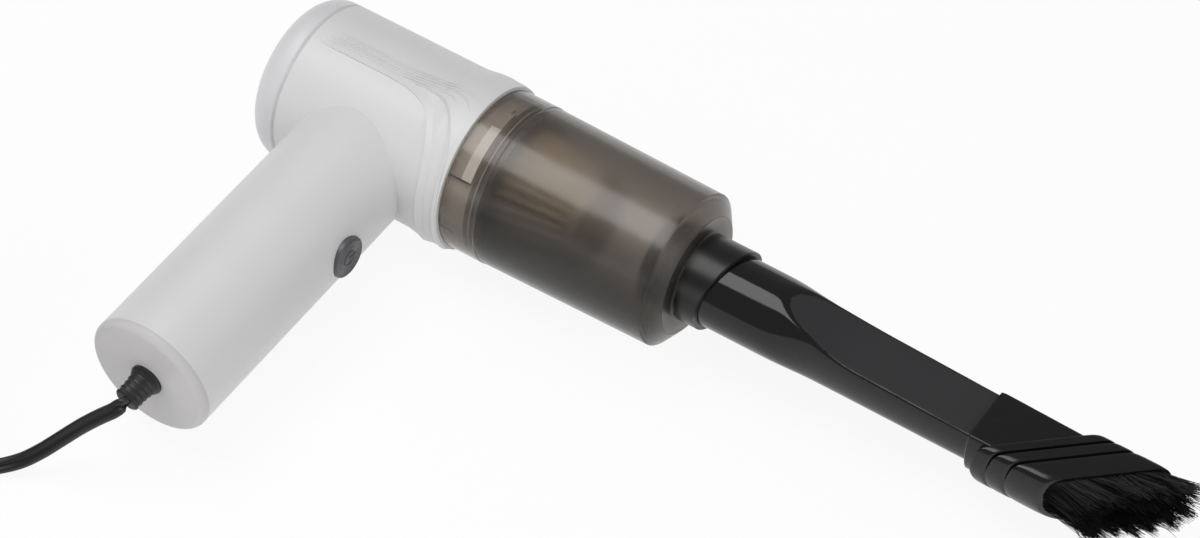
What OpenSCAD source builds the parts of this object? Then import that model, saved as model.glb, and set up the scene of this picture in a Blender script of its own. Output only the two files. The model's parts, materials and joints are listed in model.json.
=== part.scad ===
// Hand-held car vacuum cleaner with a dust cup, a crevice nozzle, a sliding brush and a 12 V lead.
// It lies on its side: +X is the nozzle's way, -Y the handle's way and +Z up.

/* [Housing] */
// Diameter of the barrel
barrel_d = 60.6; // [58.6:0.2:61.6]
// Length of the barrel, from its rear edge to the cup's seam
barrel_len = 69.6; // [68:0.2:80]
// Wall of the barrel and the handle
wall = 2.2; // [1.8:0.1:2.4]
// Depth of the groove round the seam between the barrel and the rear cap
rear_groove = 0.8; // [0.4:0.1:1.2]
// Diameter of the flange round the barrel's front
flange_d = 62.6; // [61.8:0.2:66]
// Length of the flange at its full diameter
flange_len = 8; // [5:0.5:12]
// Length of the taper from the barrel to the flange
flange_taper = 8; // [3:0.5:10]
// Diameter of the handle
handle_d = 46.4; // [44:0.2:52]
// Length of the handle, from the barrel's axis to the handle's flat end
handle_len = 137.5; // [130:0.5:160]
// Distance of the handle's axis behind the cup's seam
handle_back = 39.4; // [37:0.2:42]
// Radius round the handle's end
handle_edge = 2.6; // [1:0.2:3]
// Length of the handle's end cap along its outside
end_cap_len = 3.2; // [3:0.1:8]
// How far the rear cap stands out of the barrel
rear_cap_proud = 12; // [10:0.2:14]
// Radius round the rear cap's edge
rear_cap_edge = 9; // [6:0.2:9.6]
// Width of one exhaust slot in the rear cap
exhaust_slot_w = 2.2; // [1.4:0.1:2.6]
// Number of exhaust slots in the rear cap
exhaust_slot_count = 8; // [4:2:8]

/* [Bayonet] */
// Length of the spigot that the cup slides over
spigot_len = 8.7; // [8:0.1:10]
// Wall of the spigot
spigot_wall = 1.6; // [1.2:0.1:2]
// Height of the lands that centre the cup
land_h = 1.2; // [0.8:0.1:1.4]
// How far the spigot's lands lie below the barrel's bore
spigot_drop = 0.4; // [0.3:0.1:0.8]
// Angle that one land spans
land_angle = 44; // [30:1:48]
// Height of a lug above the lands
lug_h = 0.8; // [0.6:0.1:1]
// Length of a lug along the barrel
lug_len = 2; // [1.5:0.1:2.6]
// Angle that one lug spans
lug_angle = 6; // [4:1:8]
// Distance of the lugs in front of the cup's seam
lug_at = 5.4; // [4.6:0.1:5.6]
// Angle that the cup turns to unlock
cup_turn = 20; // [12:1:30]

/* [Dust cup] */
// Diameter of the cup's collar
collar_d = 59.2; // [59.2:0.1:61]
// Length of the collar
collar_len = 14.7; // [12:0.1:18]
// Step from the collar down to the cup's body
collar_step = 0.25; // [0.15:0.05:0.5]
// Diameter of the cup's body at its front shoulder
shoulder_d = 56.4; // [55:0.2:58]
// Distance of the shoulder in front of the seam
shoulder_at = 81; // [78:0.2:84]
// Diameter of the cup's flat front
front_d = 43.6; // [40:0.2:48]
// Distance of the cup's flat front in front of the seam
front_at = 85.6; // [84.8:0.2:88]
// Wall of the cup
cup_wall = 2; // [1.8:0.1:2.2]
// Diameter of the neck on the cup's front
neck_d = 31.9; // [31.5:0.1:34]
// Length of the neck on its axis
neck_len = 12; // [9:0.2:20]
// Slant of the neck's end: run along the neck for each millimetre across it
neck_slant = 0.24; // [0:0.02:0.3]
// Angle towards which the neck is longest, from +Y towards +Z
neck_slant_angle = 27; // [0:1:90]
// Length of the inlet tube inside the cup
inlet_len = 14; // [8:1:20]

/* [Filter] */
// Diameter over the pleats at the filter's base
pleat_base_d = 43; // [38:0.5:45]
// Diameter over the pleats at the filter's front
pleat_front_d = 30; // [26:0.5:33]
// Length of the pleats
pleat_len = 26.5; // [22:0.5:30]
// Depth of one pleat
pleat_depth = 3.6; // [2:0.2:4]
// Thickness of the filter paper
paper_t = 0.7; // [0.5:0.1:1]
// Number of pleats
pleat_count = 28; // [16:2:36]
// Diameter of the filter's base
filter_base_d = 52; // [51.4:0.2:53]
// Thickness of the filter's base
filter_base_t = 3.2; // [3:0.1:6]
// Thickness of the filter's front cap
filter_cap_t = 4; // [3:0.2:6]
// Thickness of the gasket behind the filter's base
gasket_t = 0.8; // [0.5:0.1:1.2]
// Outer diameter of the seat that the filter slides on
filter_seat_d = 36; // [33:0.5:38]
// How far the filter can be pulled inside the cup
filter_travel = 10; // [6:1:12]

/* [Nozzle] */
// Diameter of the nozzle's round tube
nozzle_d = 28.2; // [27:0.2:29]
// Wall of the nozzle
nozzle_wall = 1.6; // [1.2:0.1:2]
// Distance of the nozzle's rear end in front of the seam
nozzle_rear_at = 80; // [78:0.5:84]
// Distance of the tip of the flat in front of the seam
flat_tip_at = 119.5; // [115:0.5:126]
// Distance where the crevice's sides reach its width
crevice_at = 138; // [130:1:142]
// Distance of the bend in the flat in front of the seam
flat_bend_at = 146.5; // [142:0.5:152]
// Height of the bend above the nozzle's axis
flat_bend_z = 6.2; // [5:0.2:8]
// Height of the flat above the nozzle's axis at the tip
flat_end_z = 2; // [1:0.2:4]
// Width of the crevice at the bend
crevice_w = 20.9; // [18:0.1:23]
// Width of the crevice at the tip
crevice_end_w = 19.6; // [17:0.1:22]
// Distance of the slanted tip's middle in front of the seam
tip_at = 236; // [232:1:238]
// How far the nozzle can be pulled out of the cup's neck
nozzle_travel = 14; // [8:1:14]

/* [Brush] */
// Distance of the sleeve's rear edge in front of the seam
sleeve_rear_at = 196.4; // [194:0.2:200]
// Distance of the thick front part's middle in front of the seam
sleeve_thick_at = 216.4; // [215:0.2:218]
// Distance of the sleeve's slanted mouth, at its middle, in front of the seam
sleeve_front_at = 241.4; // [240:0.2:246]
// Slant of the brush: run along the nozzle for each millimetre across it
slant = 1.12; // [0.9:0.01:1.15]
// Wall of the sleeve's rear part
sleeve_wall = 1.2; // [1:0.1:1.6]
// Extra wall of the sleeve's front part
sleeve_extra = 1.7; // [1.4:0.1:2.4]
// Extra wall under the sleeve's bottom
sleeve_bottom_extra = 1.6; // [0:0.1:2]
// Depth of the slanted grooves
groove_depth = 0.7; // [0.4:0.1:1]
// Width of a slanted groove along the nozzle
groove_w = 1.4; // [1:0.1:2.4]
// Spacing of the slanted grooves along the nozzle
groove_pitch = 6.9; // [6:0.1:8]
// Distance of the first groove from the thick part's start
groove_first = 5.6; // [4.5:0.1:7]
// How far the brush can be pulled forwards on the nozzle
brush_travel = 28; // [15:1:34]
// Length of the bristles in front of their backing
bristle_len = 12; // [8:0.5:18]
// Thickness of one bristle
bristle_d = 0.5; // [0.3:0.05:0.5]
// Number of bristles along the mouth's top, and along its bottom
bristle_rows_long = 102; // [30:3:102]
// Number of bristles along each of the mouth's short sides
bristle_rows_short = 48; // [12:3:48]

/* [Fan and motor] */
// Diameter of the impeller
impeller_d = 44; // [38:0.5:46]
// Height of the impeller's blades
blade_h = 6.5; // [5:0.5:7]
// Number of blades
blade_count = 9; // [6:1:11]
// Inlet diameter of the fan's shroud
shroud_inlet_d = 22; // [18:0.5:24]
// Wall of the shroud and of the diffuser
fan_wall = 1.4; // [1:0.1:1.6]
// Diameter of the motor's can
can_d = 36; // [32:0.5:37]
// Length of the motor's can
can_len = 38; // [34:0.5:40]
// Wall of the motor's can
can_wall = 1.2; // [0.8:0.1:1.6]
// Diameter of the motor's shaft
shaft_d = 3.2; // [2.4:0.1:4]
// Running clearance of the shaft in its bushes, on the radius
bush_fit = 0.02; // [0.01:0.01:0.08]
// Thickness of the motor's end bell
end_bell_t = 4; // [3:0.5:4]

/* [Switch] */
// Diameter of the power button
button_d = 15.2; // [13:0.2:17]
// How far the button stands out of the handle
button_proud = 1; // [0.8:0.1:3]
// Distance of the button from the barrel's axis
button_at = 59; // [54:0.5:70]
// Travel of the button
button_travel = 1.2; // [0.6:0.1:1.4]
// Clearance round the button
button_fit = 0.1; // [0.05:0.01:0.1]

/* [Lead and plug] */
// Width of the flat twin lead
lead_w = 5.4; // [5:0.1:5.6]
// Thickness of the flat twin lead
lead_t = 2.7; // [2.4:0.1:2.8]
// Visible length of the strain relief
relief_len = 11; // [8:0.5:16]
// Diameter of the strain relief at its base
relief_d = 11; // [8:0.2:12]
// Number of loops in the coil of spare lead
coil_loops = 24; // [8:8:24]
// Inner radius of the coil at the middle of its first loop
coil_inner_r = 24.5; // [20:0.5:28]
// Spacing of the loops side by side
loop_pitch = 3.3; // [3.3:0.05:4]
// Spacing of the layers of loops
layer_pitch = 6; // [6:0.1:7]
// Diameter of the 12 V plug's body
plug_d = 21; // [20.4:0.2:24]
// Length of the 12 V plug's grip
plug_grip_len = 34; // [28:1:45]
// Diameter of the part of the plug that goes into the 12 V socket
plug_shell_d = 20; // [19.6:0.1:20.2]
// Length of the part of the plug that goes into the 12 V socket
plug_shell_len = 28; // [26:1:32]

/* [Hidden] */
$fn = 64;

housing_white = [0.88, 0.87, 0.86];
smoke = [0.42, 0.37, 0.33];
gloss_black = [0.06, 0.06, 0.07];
dark_grey = [0.32, 0.32, 0.33];
steel = [0.72, 0.72, 0.74];
copper = [0.75, 0.42, 0.2];
brass = [0.78, 0.65, 0.35];
cream = [0.86, 0.8, 0.66];
foam_grey = [0.3, 0.3, 0.3];

barrel_r = barrel_d / 2;
bore_r = barrel_r - wall;
flange_r = flange_d / 2;
handle_r = handle_d / 2;
handle_bore_r = handle_r - wall;
fit = 0.1;
far = 60;

// Places along the barrel, in front of the seam, of what stands in a row behind it.
front_plate_t = 2;
shroud_at = -front_plate_t - 0.6;
fan_depth = blade_h + 6;
diffuser_t = 2;
diffuser_at = shroud_at - fan_depth;
can_front = diffuser_at - diffuser_t;
can_r = can_d / 2;
motor_rear = can_front - can_len - end_bell_t;

// The brush's mouth, the bristles' tips and the lowest point set the frame's origin.
sleeve_fit = 0.08;
sleeve_margin = sleeve_fit + sleeve_wall + sleeve_extra;
sleeve_half_w = crevice_half(sleeve_thick_at) + sleeve_margin;
front_reach = sleeve_front_at + slant * sleeve_half_w + bristle_len;
rear_reach = barrel_len + rear_cap_proud;
handle_reach = handle_len + relief_len;
seam_x = -(front_reach - rear_reach) / 2;
axis_y = (handle_reach - flange_r) / 2;
axis_z = flange_r;

// Frames: the barrel's axis, with z along the nozzle, and the handle's, with z towards its end.
module on_barrel(at = 0) translate([seam_x + at, axis_y, axis_z]) rotate([0, 90, 0]) children();
module on_handle(at = 0)
    translate([seam_x - handle_back, axis_y - at, axis_z]) rotate([90, 0, 0]) children();
// The nozzle's frame keeps x along it, y across it and z up, with its origin at the seam.
module on_nozzle() translate([seam_x, axis_y, axis_z]) children();
// The button's frame has its z axis along the push, outwards from the handle's axis.
module on_button(at = 0)
    translate([seam_x - handle_back + at, axis_y - button_at, axis_z])
        rotate([0, 90, 0]) children();

module ring(r_out, r_in, h)
    difference() {
        cylinder(r = r_out, h = h);
        translate([0, 0, -1]) cylinder(r = r_in, h = h + 2);
    }

// A disc whose top edge is rounded.
module round_edge_disc(r, h, edge)
    rotate_extrude() {
        square([r - edge, h]);
        square([r, h - edge]);
        translate([r - edge, h - edge]) intersection() {
            circle(edge);
            square([edge, edge]);
        }
    }

// A disc whose bottom edge is cut off at 45 degrees.
module chamfered_disc(r, h, cut) {
    cylinder(r1 = r - cut, r2 = r, h = cut);
    translate([0, 0, cut]) cylinder(r = r, h = h - cut);
}

// A sector of a ring in the barrel's frame, between two angles from the part's +Y towards its +Z.
module ring_sector(r_out, r_in, h, from, to)
    rotate([0, 0, 90 + from]) intersection() {
        ring(r_out, r_in, h);
        translate([0, 0, -1]) linear_extrude(h + 2) wedge(r_out * 3, to - from);
    }

// A wedge from the x axis through an angle under 140 degrees, reaching past a third of its sides.
module wedge(reach, angle)
    polygon(concat([[0, 0]],
        [for (k = [0:2]) reach * [cos(angle * k / 2), sin(angle * k / 2)]]));

/* Housing */

stop_gap = 3.5;
stop_at = stop_gap - motor_rear;
stop_len = 2;
foam_ledge = 3;
face_r = barrel_r - rear_cap_edge;
foam_r = face_r - 0.5;
cushion_rib_t = 2;
cushion_rib_r = can_r + 2;
cushion_len = 10;
cushion_at = can_front - can_len - 0.9;
rail_w = 3;
bracket_t = 2;
bracket_at = 5;
bracket_len = 30;
handle_seam = handle_len - end_cap_len;

module flange_profile()
    polygon([[bore_r, 0], [flange_r - 0.6, 0], [flange_r - 0.2, -2], [flange_r, -flange_len + 1],
        [flange_r - 0.1, -flange_len - 2], [barrel_r, -flange_len - flange_taper],
        [bore_r, -flange_len - flange_taper]]);

module barrel_tube()
    difference() {
        union() {
            translate([0, 0, -barrel_len]) chamfered_disc(barrel_r, barrel_len, rear_groove);
            rotate_extrude() flange_profile();
        }
        translate([0, 0, -barrel_len - 1]) cylinder(r = bore_r, h = barrel_len + 2);
    }

module main_housing()
    color(housing_white) {
        difference() {
            union() {
                on_barrel() barrel_tube();
                difference() {
                    on_handle() cylinder(r = handle_r, h = handle_seam);
                    on_barrel(-barrel_len - 1) cylinder(r = bore_r, h = barrel_len + 2);
                }
            }
            on_handle(bore_r / 2) cylinder(r = handle_bore_r, h = handle_len);
            on_button() cylinder(r = button_d / 2 + button_fit, h = handle_r + 2);
        }
        on_barrel(-stop_at) ring(bore_r, foam_r - foam_ledge, stop_len);
        for (a = [45:90:315])
            on_barrel(cushion_at + 1) intersection() {
                rotate([0, 0, a]) translate([cushion_rib_r, -cushion_rib_t / 2, 0])
                    cube([bore_r, cushion_rib_t, cushion_len - 2]);
                cylinder(r = bore_r, h = cushion_len);
            }
        for (side = [-1, 1])
            intersection() {
                on_handle(button_at - bracket_len / 2) cylinder(r = handle_bore_r, h = bracket_len);
                on_button(bracket_at - bracket_t - rail_w)
                    translate([side * (handle_bore_r - rail_w / 2) - rail_w, -bracket_len / 2, 0])
                        cube([rail_w * 2, bracket_len, rail_w]);
            }
    }

rear_skirt_len = barrel_len - stop_at;
rear_plate_t = 2.2;
foam_t = rear_skirt_len + rear_cap_proud - rear_plate_t;
slot_circle_r = face_r - 4;

module rear_cap()
    color(housing_white) on_barrel(-barrel_len) difference() {
        union() {
            intersection() {
                mirror([0, 0, 1]) round_edge_disc(barrel_r, rear_cap_proud, rear_cap_edge);
                mirror([0, 0, 1]) cylinder(r1 = barrel_r - rear_groove,
                    r2 = barrel_r - rear_groove + rear_cap_proud + 1, h = rear_cap_proud + 1);
            }
            cylinder(r = bore_r - fit, h = rear_skirt_len);
        }
        translate([0, 0, -rear_cap_proud + rear_plate_t])
            cylinder(r = foam_r + 0.3, h = rear_skirt_len + rear_cap_proud);
        for (i = [0:exhaust_slot_count - 1])
            translate([(i - (exhaust_slot_count - 1) / 2) * exhaust_slot_w * 2, 0, -rear_cap_proud])
                exhaust_slot((i - (exhaust_slot_count - 1) / 2) * exhaust_slot_w * 2);
    }

// A slot with round ends, whose length follows the cap's round face.
module exhaust_slot(offset_x) {
    half = sqrt(slot_circle_r * slot_circle_r - offset_x * offset_x) - exhaust_slot_w / 2;
    translate([0, 0, -1]) {
        translate([-exhaust_slot_w / 2, -half, 0])
            cube([exhaust_slot_w, half * 2, rear_plate_t + 3]);
        for (side = [-1, 1])
            translate([0, side * half, 0]) cylinder(d = exhaust_slot_w, h = rear_plate_t + 3);
    }
}

module exhaust_foam()
    color(foam_grey) on_barrel(-barrel_len - rear_cap_proud + rear_plate_t)
        cylinder(r = foam_r, h = foam_t);

end_wall = 2.4;
cap_skirt_len = 6;
cap_skirt_wall = 1.6;

module handle_end_cap()
    color(housing_white) on_handle(handle_seam) difference() {
        union() {
            round_edge_disc(handle_r, end_cap_len, handle_edge);
            translate([0, 0, -cap_skirt_len]) cylinder(r = handle_bore_r - fit, h = cap_skirt_len);
        }
        translate([0, 0, -cap_skirt_len - 1])
            cylinder(r = handle_bore_r - fit - cap_skirt_wall,
                h = cap_skirt_len + 1 + end_cap_len - end_wall);
        cylinder(d = relief_d - 1, h = end_cap_len + 1);
        translate([0, 0, end_cap_len - end_wall])
            for (side = [-1, 1]) translate([side * clamp_screw_gap / 2, 0, -1])
                cylinder(r = clamp_screw_r * 0.85, h = 2);
    }

/* Bayonet ring, which closes the barrel's front and carries the cup and the filter */

skirt_len = 7;
spigot_r = bore_r - fit - land_h - spigot_drop;
grille_bar = 1.6;
seat_wall = 1.4;
seat_r = filter_seat_d / 2;
land_from = 97;
finger_at = 5;
finger_drop = 0.1;
finger_angle = 17;
lug_centre = land_from - finger_angle - 1.5;
spigot_end = spigot_len + 2.5;
seal_r = 0.8;
seal_at = spigot_len + 1.2;
seal_groove = 0.6;

module bayonet_ring()
    color(housing_white) on_barrel() {
        difference() {
            union() {
                translate([0, 0, -skirt_len]) cylinder(r = bore_r - fit / 2, h = skirt_len);
                cylinder(r = spigot_r, h = spigot_end);
                for (i = [0:2]) bayonet_land(i * 120);
            }
            translate([0, 0, -skirt_len - 1])
                cylinder(r = bore_r - spigot_wall - 0.4, h = skirt_len + 1 - front_plate_t);
            cylinder(r = spigot_r - spigot_wall, h = spigot_end + 1);
            translate([0, 0, -front_plate_t - 1]) cylinder(r = seat_r - seat_wall, h = 20);
            translate([0, 0, seal_at - seal_r]) ring(bore_r, spigot_r - seal_groove, seal_r * 2);
        }
        translate([0, 0, -front_plate_t])
            ring(seat_r, seat_r - seat_wall, front_plate_t + filter_at + seat_grip - 0.2);
        translate([0, 0, -front_plate_t]) intersection() {
            for (a = [0:60:120])
                rotate([0, 0, a]) translate([-seat_r, -grille_bar / 2, 0])
                    cube([seat_r * 2, grille_bar, front_plate_t]);
            cylinder(r = seat_r - seat_wall / 2, h = front_plate_t);
        }
    }

// A land that centres the cup, with a finger along the spigot's front edge that ends in a lug.
module bayonet_land(turn) {
    land_r = spigot_r + land_h;
    root_r = spigot_r - spigot_wall / 2;
    ring_sector(land_r, root_r, spigot_len, land_from + turn, land_from + land_angle + turn);
    translate([0, 0, finger_at]) ring_sector(land_r - finger_drop, root_r,
        spigot_len - finger_at - finger_drop, lug_centre + turn, land_from + 1 + turn);
    translate([0, 0, lug_at]) ring_sector(land_r + lug_h, root_r, lug_len,
        lug_centre - lug_angle / 2 + turn, lug_centre + lug_angle / 2 + turn);
}

module cup_seal()
    color(dark_grey) on_barrel(seal_at)
        rotate_extrude() translate([spigot_r - seal_groove + seal_r, 0]) circle(seal_r);

/* Dust cup */

collar_r = collar_d / 2;
collar_bore_r = spigot_r + land_h + 0.08;
seam_gap = 0.3;
groove_r = spigot_r + land_h + lug_h + 0.3;
shoulder_r = shoulder_d / 2;
neck_r = neck_d / 2;
neck_end = front_at + neck_len;
socket_r = nozzle_d / 2 + 0.08;
inlet_wall = 1.3;
body_r = collar_r - collar_step;

module cup_outside()
    polygon([[0, seam_gap], [collar_r, seam_gap], [collar_r, collar_len - 0.3],
        [body_r, collar_len], [shoulder_r, shoulder_at], [front_d / 2, front_at],
        [neck_r, front_at], [neck_r, neck_end + neck_r], [0, neck_end + neck_r]]);

// What lies in front of the neck's slanted end.
module beyond_neck()
    rotate([0, 0, 90 + neck_slant_angle]) translate([0, 0, neck_end])
        rotate([0, -atan(neck_slant), 0]) translate([-far / 2, -far / 2, 0]) cube([far, far, far]);

module cup_inside()
    polygon([[0, 0], [collar_bore_r, 0], [collar_bore_r, collar_len + 1.5],
        [body_r - cup_wall, collar_len + 3], [shoulder_r - cup_wall, shoulder_at - 1],
        [front_d / 2 - 1.2, front_at - cup_wall], [0, front_at - cup_wall]]);

module dust_cup()
    color(smoke) on_barrel() {
        difference() {
            union() {
                difference() {
                    rotate_extrude() cup_outside();
                    rotate_extrude() cup_inside();
                }
                translate([0, 0, front_at - inlet_len])
                    cylinder(r = socket_r + inlet_wall, h = inlet_len);
            }
            beyond_neck();
            translate([0, 0, nozzle_rear_at]) cylinder(r = socket_r, h = far);
            translate([0, 0, front_at - inlet_len - 1])
                cylinder(r = nozzle_d / 2 - nozzle_wall, h = inlet_len + 2);
            for (i = [0:2]) {
                translate([0, 0, -1]) ring_sector(groove_r + 0.1, spigot_r, lug_at + lug_len + 1.6,
                    lug_centre + i * 120 - cup_turn - lug_angle / 2 - 2,
                    lug_centre + i * 120 - cup_turn + lug_angle / 2 + 2);
                translate([0, 0, lug_at - 0.4]) ring_sector(groove_r, spigot_r, lug_len + 0.8,
                    lug_centre + i * 120 - cup_turn,
                    lug_centre + i * 120 + lug_angle / 2 + 0.6);
            }
        }
    }

/* Filter */

filter_at = spigot_end + gasket_t;
seat_grip = 2.4;
pleats_at = filter_at + filter_base_t;
filter_cap_r = pleat_front_d / 2 + 1.6;

function pleat_points(r, depth) =
    [for (i = [0:pleat_count * 2 - 1])
        let (a = i * 180 / pleat_count, rr = i % 2 == 0 ? r : r - depth) [rr * cos(a), rr * sin(a)]];

module filter_base()
    color(dark_grey) on_barrel(filter_at) difference() {
        cylinder(d = filter_base_d, h = filter_base_t);
        translate([0, 0, -1]) cylinder(r = pleat_base_d / 2 - pleat_depth - 1, h = 20);
        translate([0, 0, -1]) cylinder(r = seat_r + 0.08, h = seat_grip + 1);
    }

module filter_pleats()
    color(cream) on_barrel(pleats_at)
        difference() {
            linear_extrude(pleat_len, scale = pleat_front_d / pleat_base_d)
                polygon(pleat_points(pleat_base_d / 2, pleat_depth));
            translate([0, 0, -0.01]) linear_extrude(pleat_len + 0.02, scale = pleat_front_d / pleat_base_d)
                polygon(pleat_points(pleat_base_d / 2 - paper_t, pleat_depth));
        }

module filter_cap()
    color(dark_grey) on_barrel(pleats_at + pleat_len)
        round_edge_disc(filter_cap_r, filter_cap_t, 1);

module filter_gasket()
    color(foam_grey) on_barrel(filter_at - gasket_t)
        ring(filter_base_d / 2, spigot_r - spigot_wall - 1, gasket_t);

/* Nozzle */

nozzle_r = nozzle_d / 2;

reach_x = sleeve_front_at + 40;

function along(x, x0, v0, x1, v1) = v0 + (v1 - v0) * (x - x0) / (x1 - x0);
// Height of the flat, and half the crevice's width, in front of the bend.
function flat_at(x) = along(x, flat_bend_at, flat_bend_z, tip_at, flat_end_z);
function crevice_half(x) = along(x, crevice_at, crevice_w, tip_at, crevice_end_w) / 2;

// The nozzle's side view between its underside and the flat, lowered by a wall's thickness.
module side_profile(inset)
    polygon([[0, -far], [reach_x, -far], [reach_x, flat_at(reach_x) - inset],
        [flat_bend_at, flat_bend_z - inset], [flat_tip_at, nozzle_r - inset],
        [flat_tip_at, far], [0, far]]);

// The nozzle's plan, with the crevice's width less a wall on each side.
module plan_profile(inset)
    polygon([for (side = [-1, 1])
        for (p = [[0, far], [flat_tip_at - 1, far], [flat_tip_at, nozzle_r + 1 - inset],
                [crevice_at, crevice_w / 2 - inset], [reach_x, crevice_half(reach_x) - inset]])
            [p[0], side * p[1]]],
        [[0, 1, 2, 3, 4, 9, 8, 7, 6, 5]]);

module nozzle_form(inset, rear, front, bottom = 0)
    intersection() {
        translate([rear, 0, 0]) rotate([0, 90, 0])
            cylinder(r = nozzle_r - inset + bottom, h = front - rear);
        translate([0, far, 0]) rotate([90, 0, 0]) linear_extrude(far * 2) side_profile(inset);
        translate([0, 0, -far]) linear_extrude(far * 2) plan_profile(inset);
    }

// Everything behind a slanted plane that crosses the nozzle's axis at a distance.
module behind_slant(at)
    translate([0, 0, -far]) linear_extrude(far * 2)
        polygon([[0, -far], [at - slant * far, -far], [at + slant * far, far], [0, far]]);

module nozzle()
    color(gloss_black) on_nozzle() difference() {
        intersection() {
            nozzle_form(0, nozzle_rear_at, reach_x);
            behind_slant(tip_at);
        }
        nozzle_form(nozzle_wall, nozzle_rear_at - 1, reach_x + 1);
    }

/* Brush */

sleeve_top_z = flat_at(sleeve_thick_at) + sleeve_margin - 0.4;
sleeve_bottom_r = nozzle_r + sleeve_margin + sleeve_bottom_extra;
sleeve_corner_r = 3;

// The thick part's outline looking along the nozzle, with round upper corners, grown by a margin.
module sleeve_outline(grow) {
    flat_half = sleeve_half_w + grow - sleeve_corner_r;
    corner_z = sleeve_top_z + grow - sleeve_corner_r;
    intersection() {
        circle(sleeve_bottom_r + grow);
        union() {
            translate([-sleeve_half_w - grow, -far])
                square([(sleeve_half_w + grow) * 2, far + corner_z]);
            translate([-flat_half, -far]) square([flat_half * 2, far + sleeve_top_z + grow]);
            for (side = [-1, 1]) translate([side * flat_half, corner_z]) circle(sleeve_corner_r);
        }
    }
}

// A straight prism of that outline between two slanted planes.
module slanted_band(grow, from, to)
    difference() {
        intersection() {
            translate([far, 0, 0]) rotate([90, 0, 90]) linear_extrude(reach_x) sleeve_outline(grow);
            behind_slant(to);
        }
        behind_slant(from);
    }

module brush_sleeve()
    color(gloss_black) on_nozzle() difference() {
        union() {
            intersection() {
                nozzle_form(-sleeve_fit - sleeve_wall, sleeve_rear_at, reach_x, sleeve_bottom_extra);
                behind_slant(sleeve_thick_at + 1);
            }
            slanted_band(0, sleeve_thick_at, sleeve_front_at);
        }
        nozzle_form(-sleeve_fit, sleeve_rear_at - 1, reach_x + 1);
        for (i = [0:1]) {
            groove_at = sleeve_thick_at + groove_first + i * groove_pitch;
            difference() {
                slanted_band(2, groove_at - groove_w / 2, groove_at + groove_w / 2);
                slanted_band(-groove_depth, groove_at - groove_w, groove_at + groove_w);
            }
        }
    }

/* Bristles */

backing_t = 0.8;
mouth_top = flat_at(sleeve_front_at) + sleeve_fit;
mouth_half_w = crevice_half(sleeve_front_at) + sleeve_fit;
rim_half_w = (mouth_half_w + sleeve_half_w) / 2;
rim_top = (mouth_top + sleeve_top_z) / 2;
rim_r = (nozzle_r + sleeve_bottom_r) / 2;
rim_corner_z = -sqrt(rim_r * rim_r - rim_half_w * rim_half_w);
rim_split_z = mouth_top + 0.6;
tuft_rows = [-1.1, 0, 1.1];
bottom_drop = 0.4;
side_gap = 1.8;
fan_out = 0.006;

// One bristle: a three-sided spike from a point on the mouth, along a direction.
module bristle(p, dir, len) {
    base = [for (i = [0:2])
        p + bristle_d / 2 * [0, cos(i * 120 + 30), sin(i * 120 + 30)] - [backing_t / 2, 0, 0]];
    polyhedron(concat(base, [p + dir * len]), [[0, 1, 2], [0, 3, 1], [1, 3, 2], [2, 3, 0]]);
}

function mouth_x(y) = sleeve_front_at + backing_t + slant * y;
// The sides' backing ends below the flat where the slanted mouth reaches furthest.
side_top_z = flat_at(mouth_x(sleeve_half_w)) + sleeve_fit;

// Bristles at points of the mouth's rim, each leaning out a little and cut to its own length.
module bristle_row(points, seed) {
    lean = rands(-0.012, 0.012, len(points) * 2, seed);
    cut = rands(0.86, 1, len(points), seed + 7);
    for (i = [0:len(points) - 1]) {
        p = points[i];
        bristle([mouth_x(p[0]), p[0], p[1]],
            [1, p[0] * fan_out + lean[i * 2], p[1] * fan_out + lean[i * 2 + 1]],
            bristle_len * cut[i]);
    }
}

// The slice of backing in front of a stretch of the sleeve's rim, inside a box across the mouth.
module backing(y0, y1, z0, z1)
    intersection() {
        difference() {
            slanted_band(-0.3, sleeve_front_at, sleeve_front_at + backing_t);
            nozzle_form(-sleeve_fit - 0.4, sleeve_rear_at, reach_x);
        }
        translate([sleeve_rear_at, y0, z0]) cube([reach_x, y1 - y0, z1 - z0]);
    }

top_span = rim_half_w - 0.8;

function across(i) = -top_span + i * top_span * 2 / (bristle_rows_long - 1);
function tuft_row(i) = tuft_rows[i % 3];

module bristles_top()
    color(gloss_black) on_nozzle() {
        backing(-far, far, rim_split_z, far);
        bristle_row([for (i = [0:bristle_rows_long - 1]) [across(i), rim_top + tuft_row(i)]], 11);
    }

module bristles_bottom()
    color(gloss_black) on_nozzle() {
        backing(-far, far, -far, rim_corner_z);
        bristle_row([for (i = [0:bristle_rows_long - 1])
            [across(i), tuft_row(i) - bottom_drop - sqrt(rim_r * rim_r - across(i) * across(i))]], 23);
    }

module bristles_side(side, seed) {
    z0 = rim_corner_z + side_gap;
    z1 = side_top_z - bristle_d;
    backing(side > 0 ? 0 : -far, side > 0 ? far : 0, rim_corner_z + 0.3, side_top_z);
    bristle_row([for (i = [0:bristle_rows_short - 1])
        [side * (rim_half_w + tuft_row(i) * 0.8),
            z0 + i * (z1 - z0) / (bristle_rows_short - 1)]], seed);
}

module bristles_left() color(gloss_black) on_nozzle() bristles_side(-1, 37);

module bristles_right() color(gloss_black) on_nozzle() bristles_side(1, 41);

/* Fan */

shroud_r = impeller_d / 2 + 2.6;
impeller_back = diffuser_at + 1.6;

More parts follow.
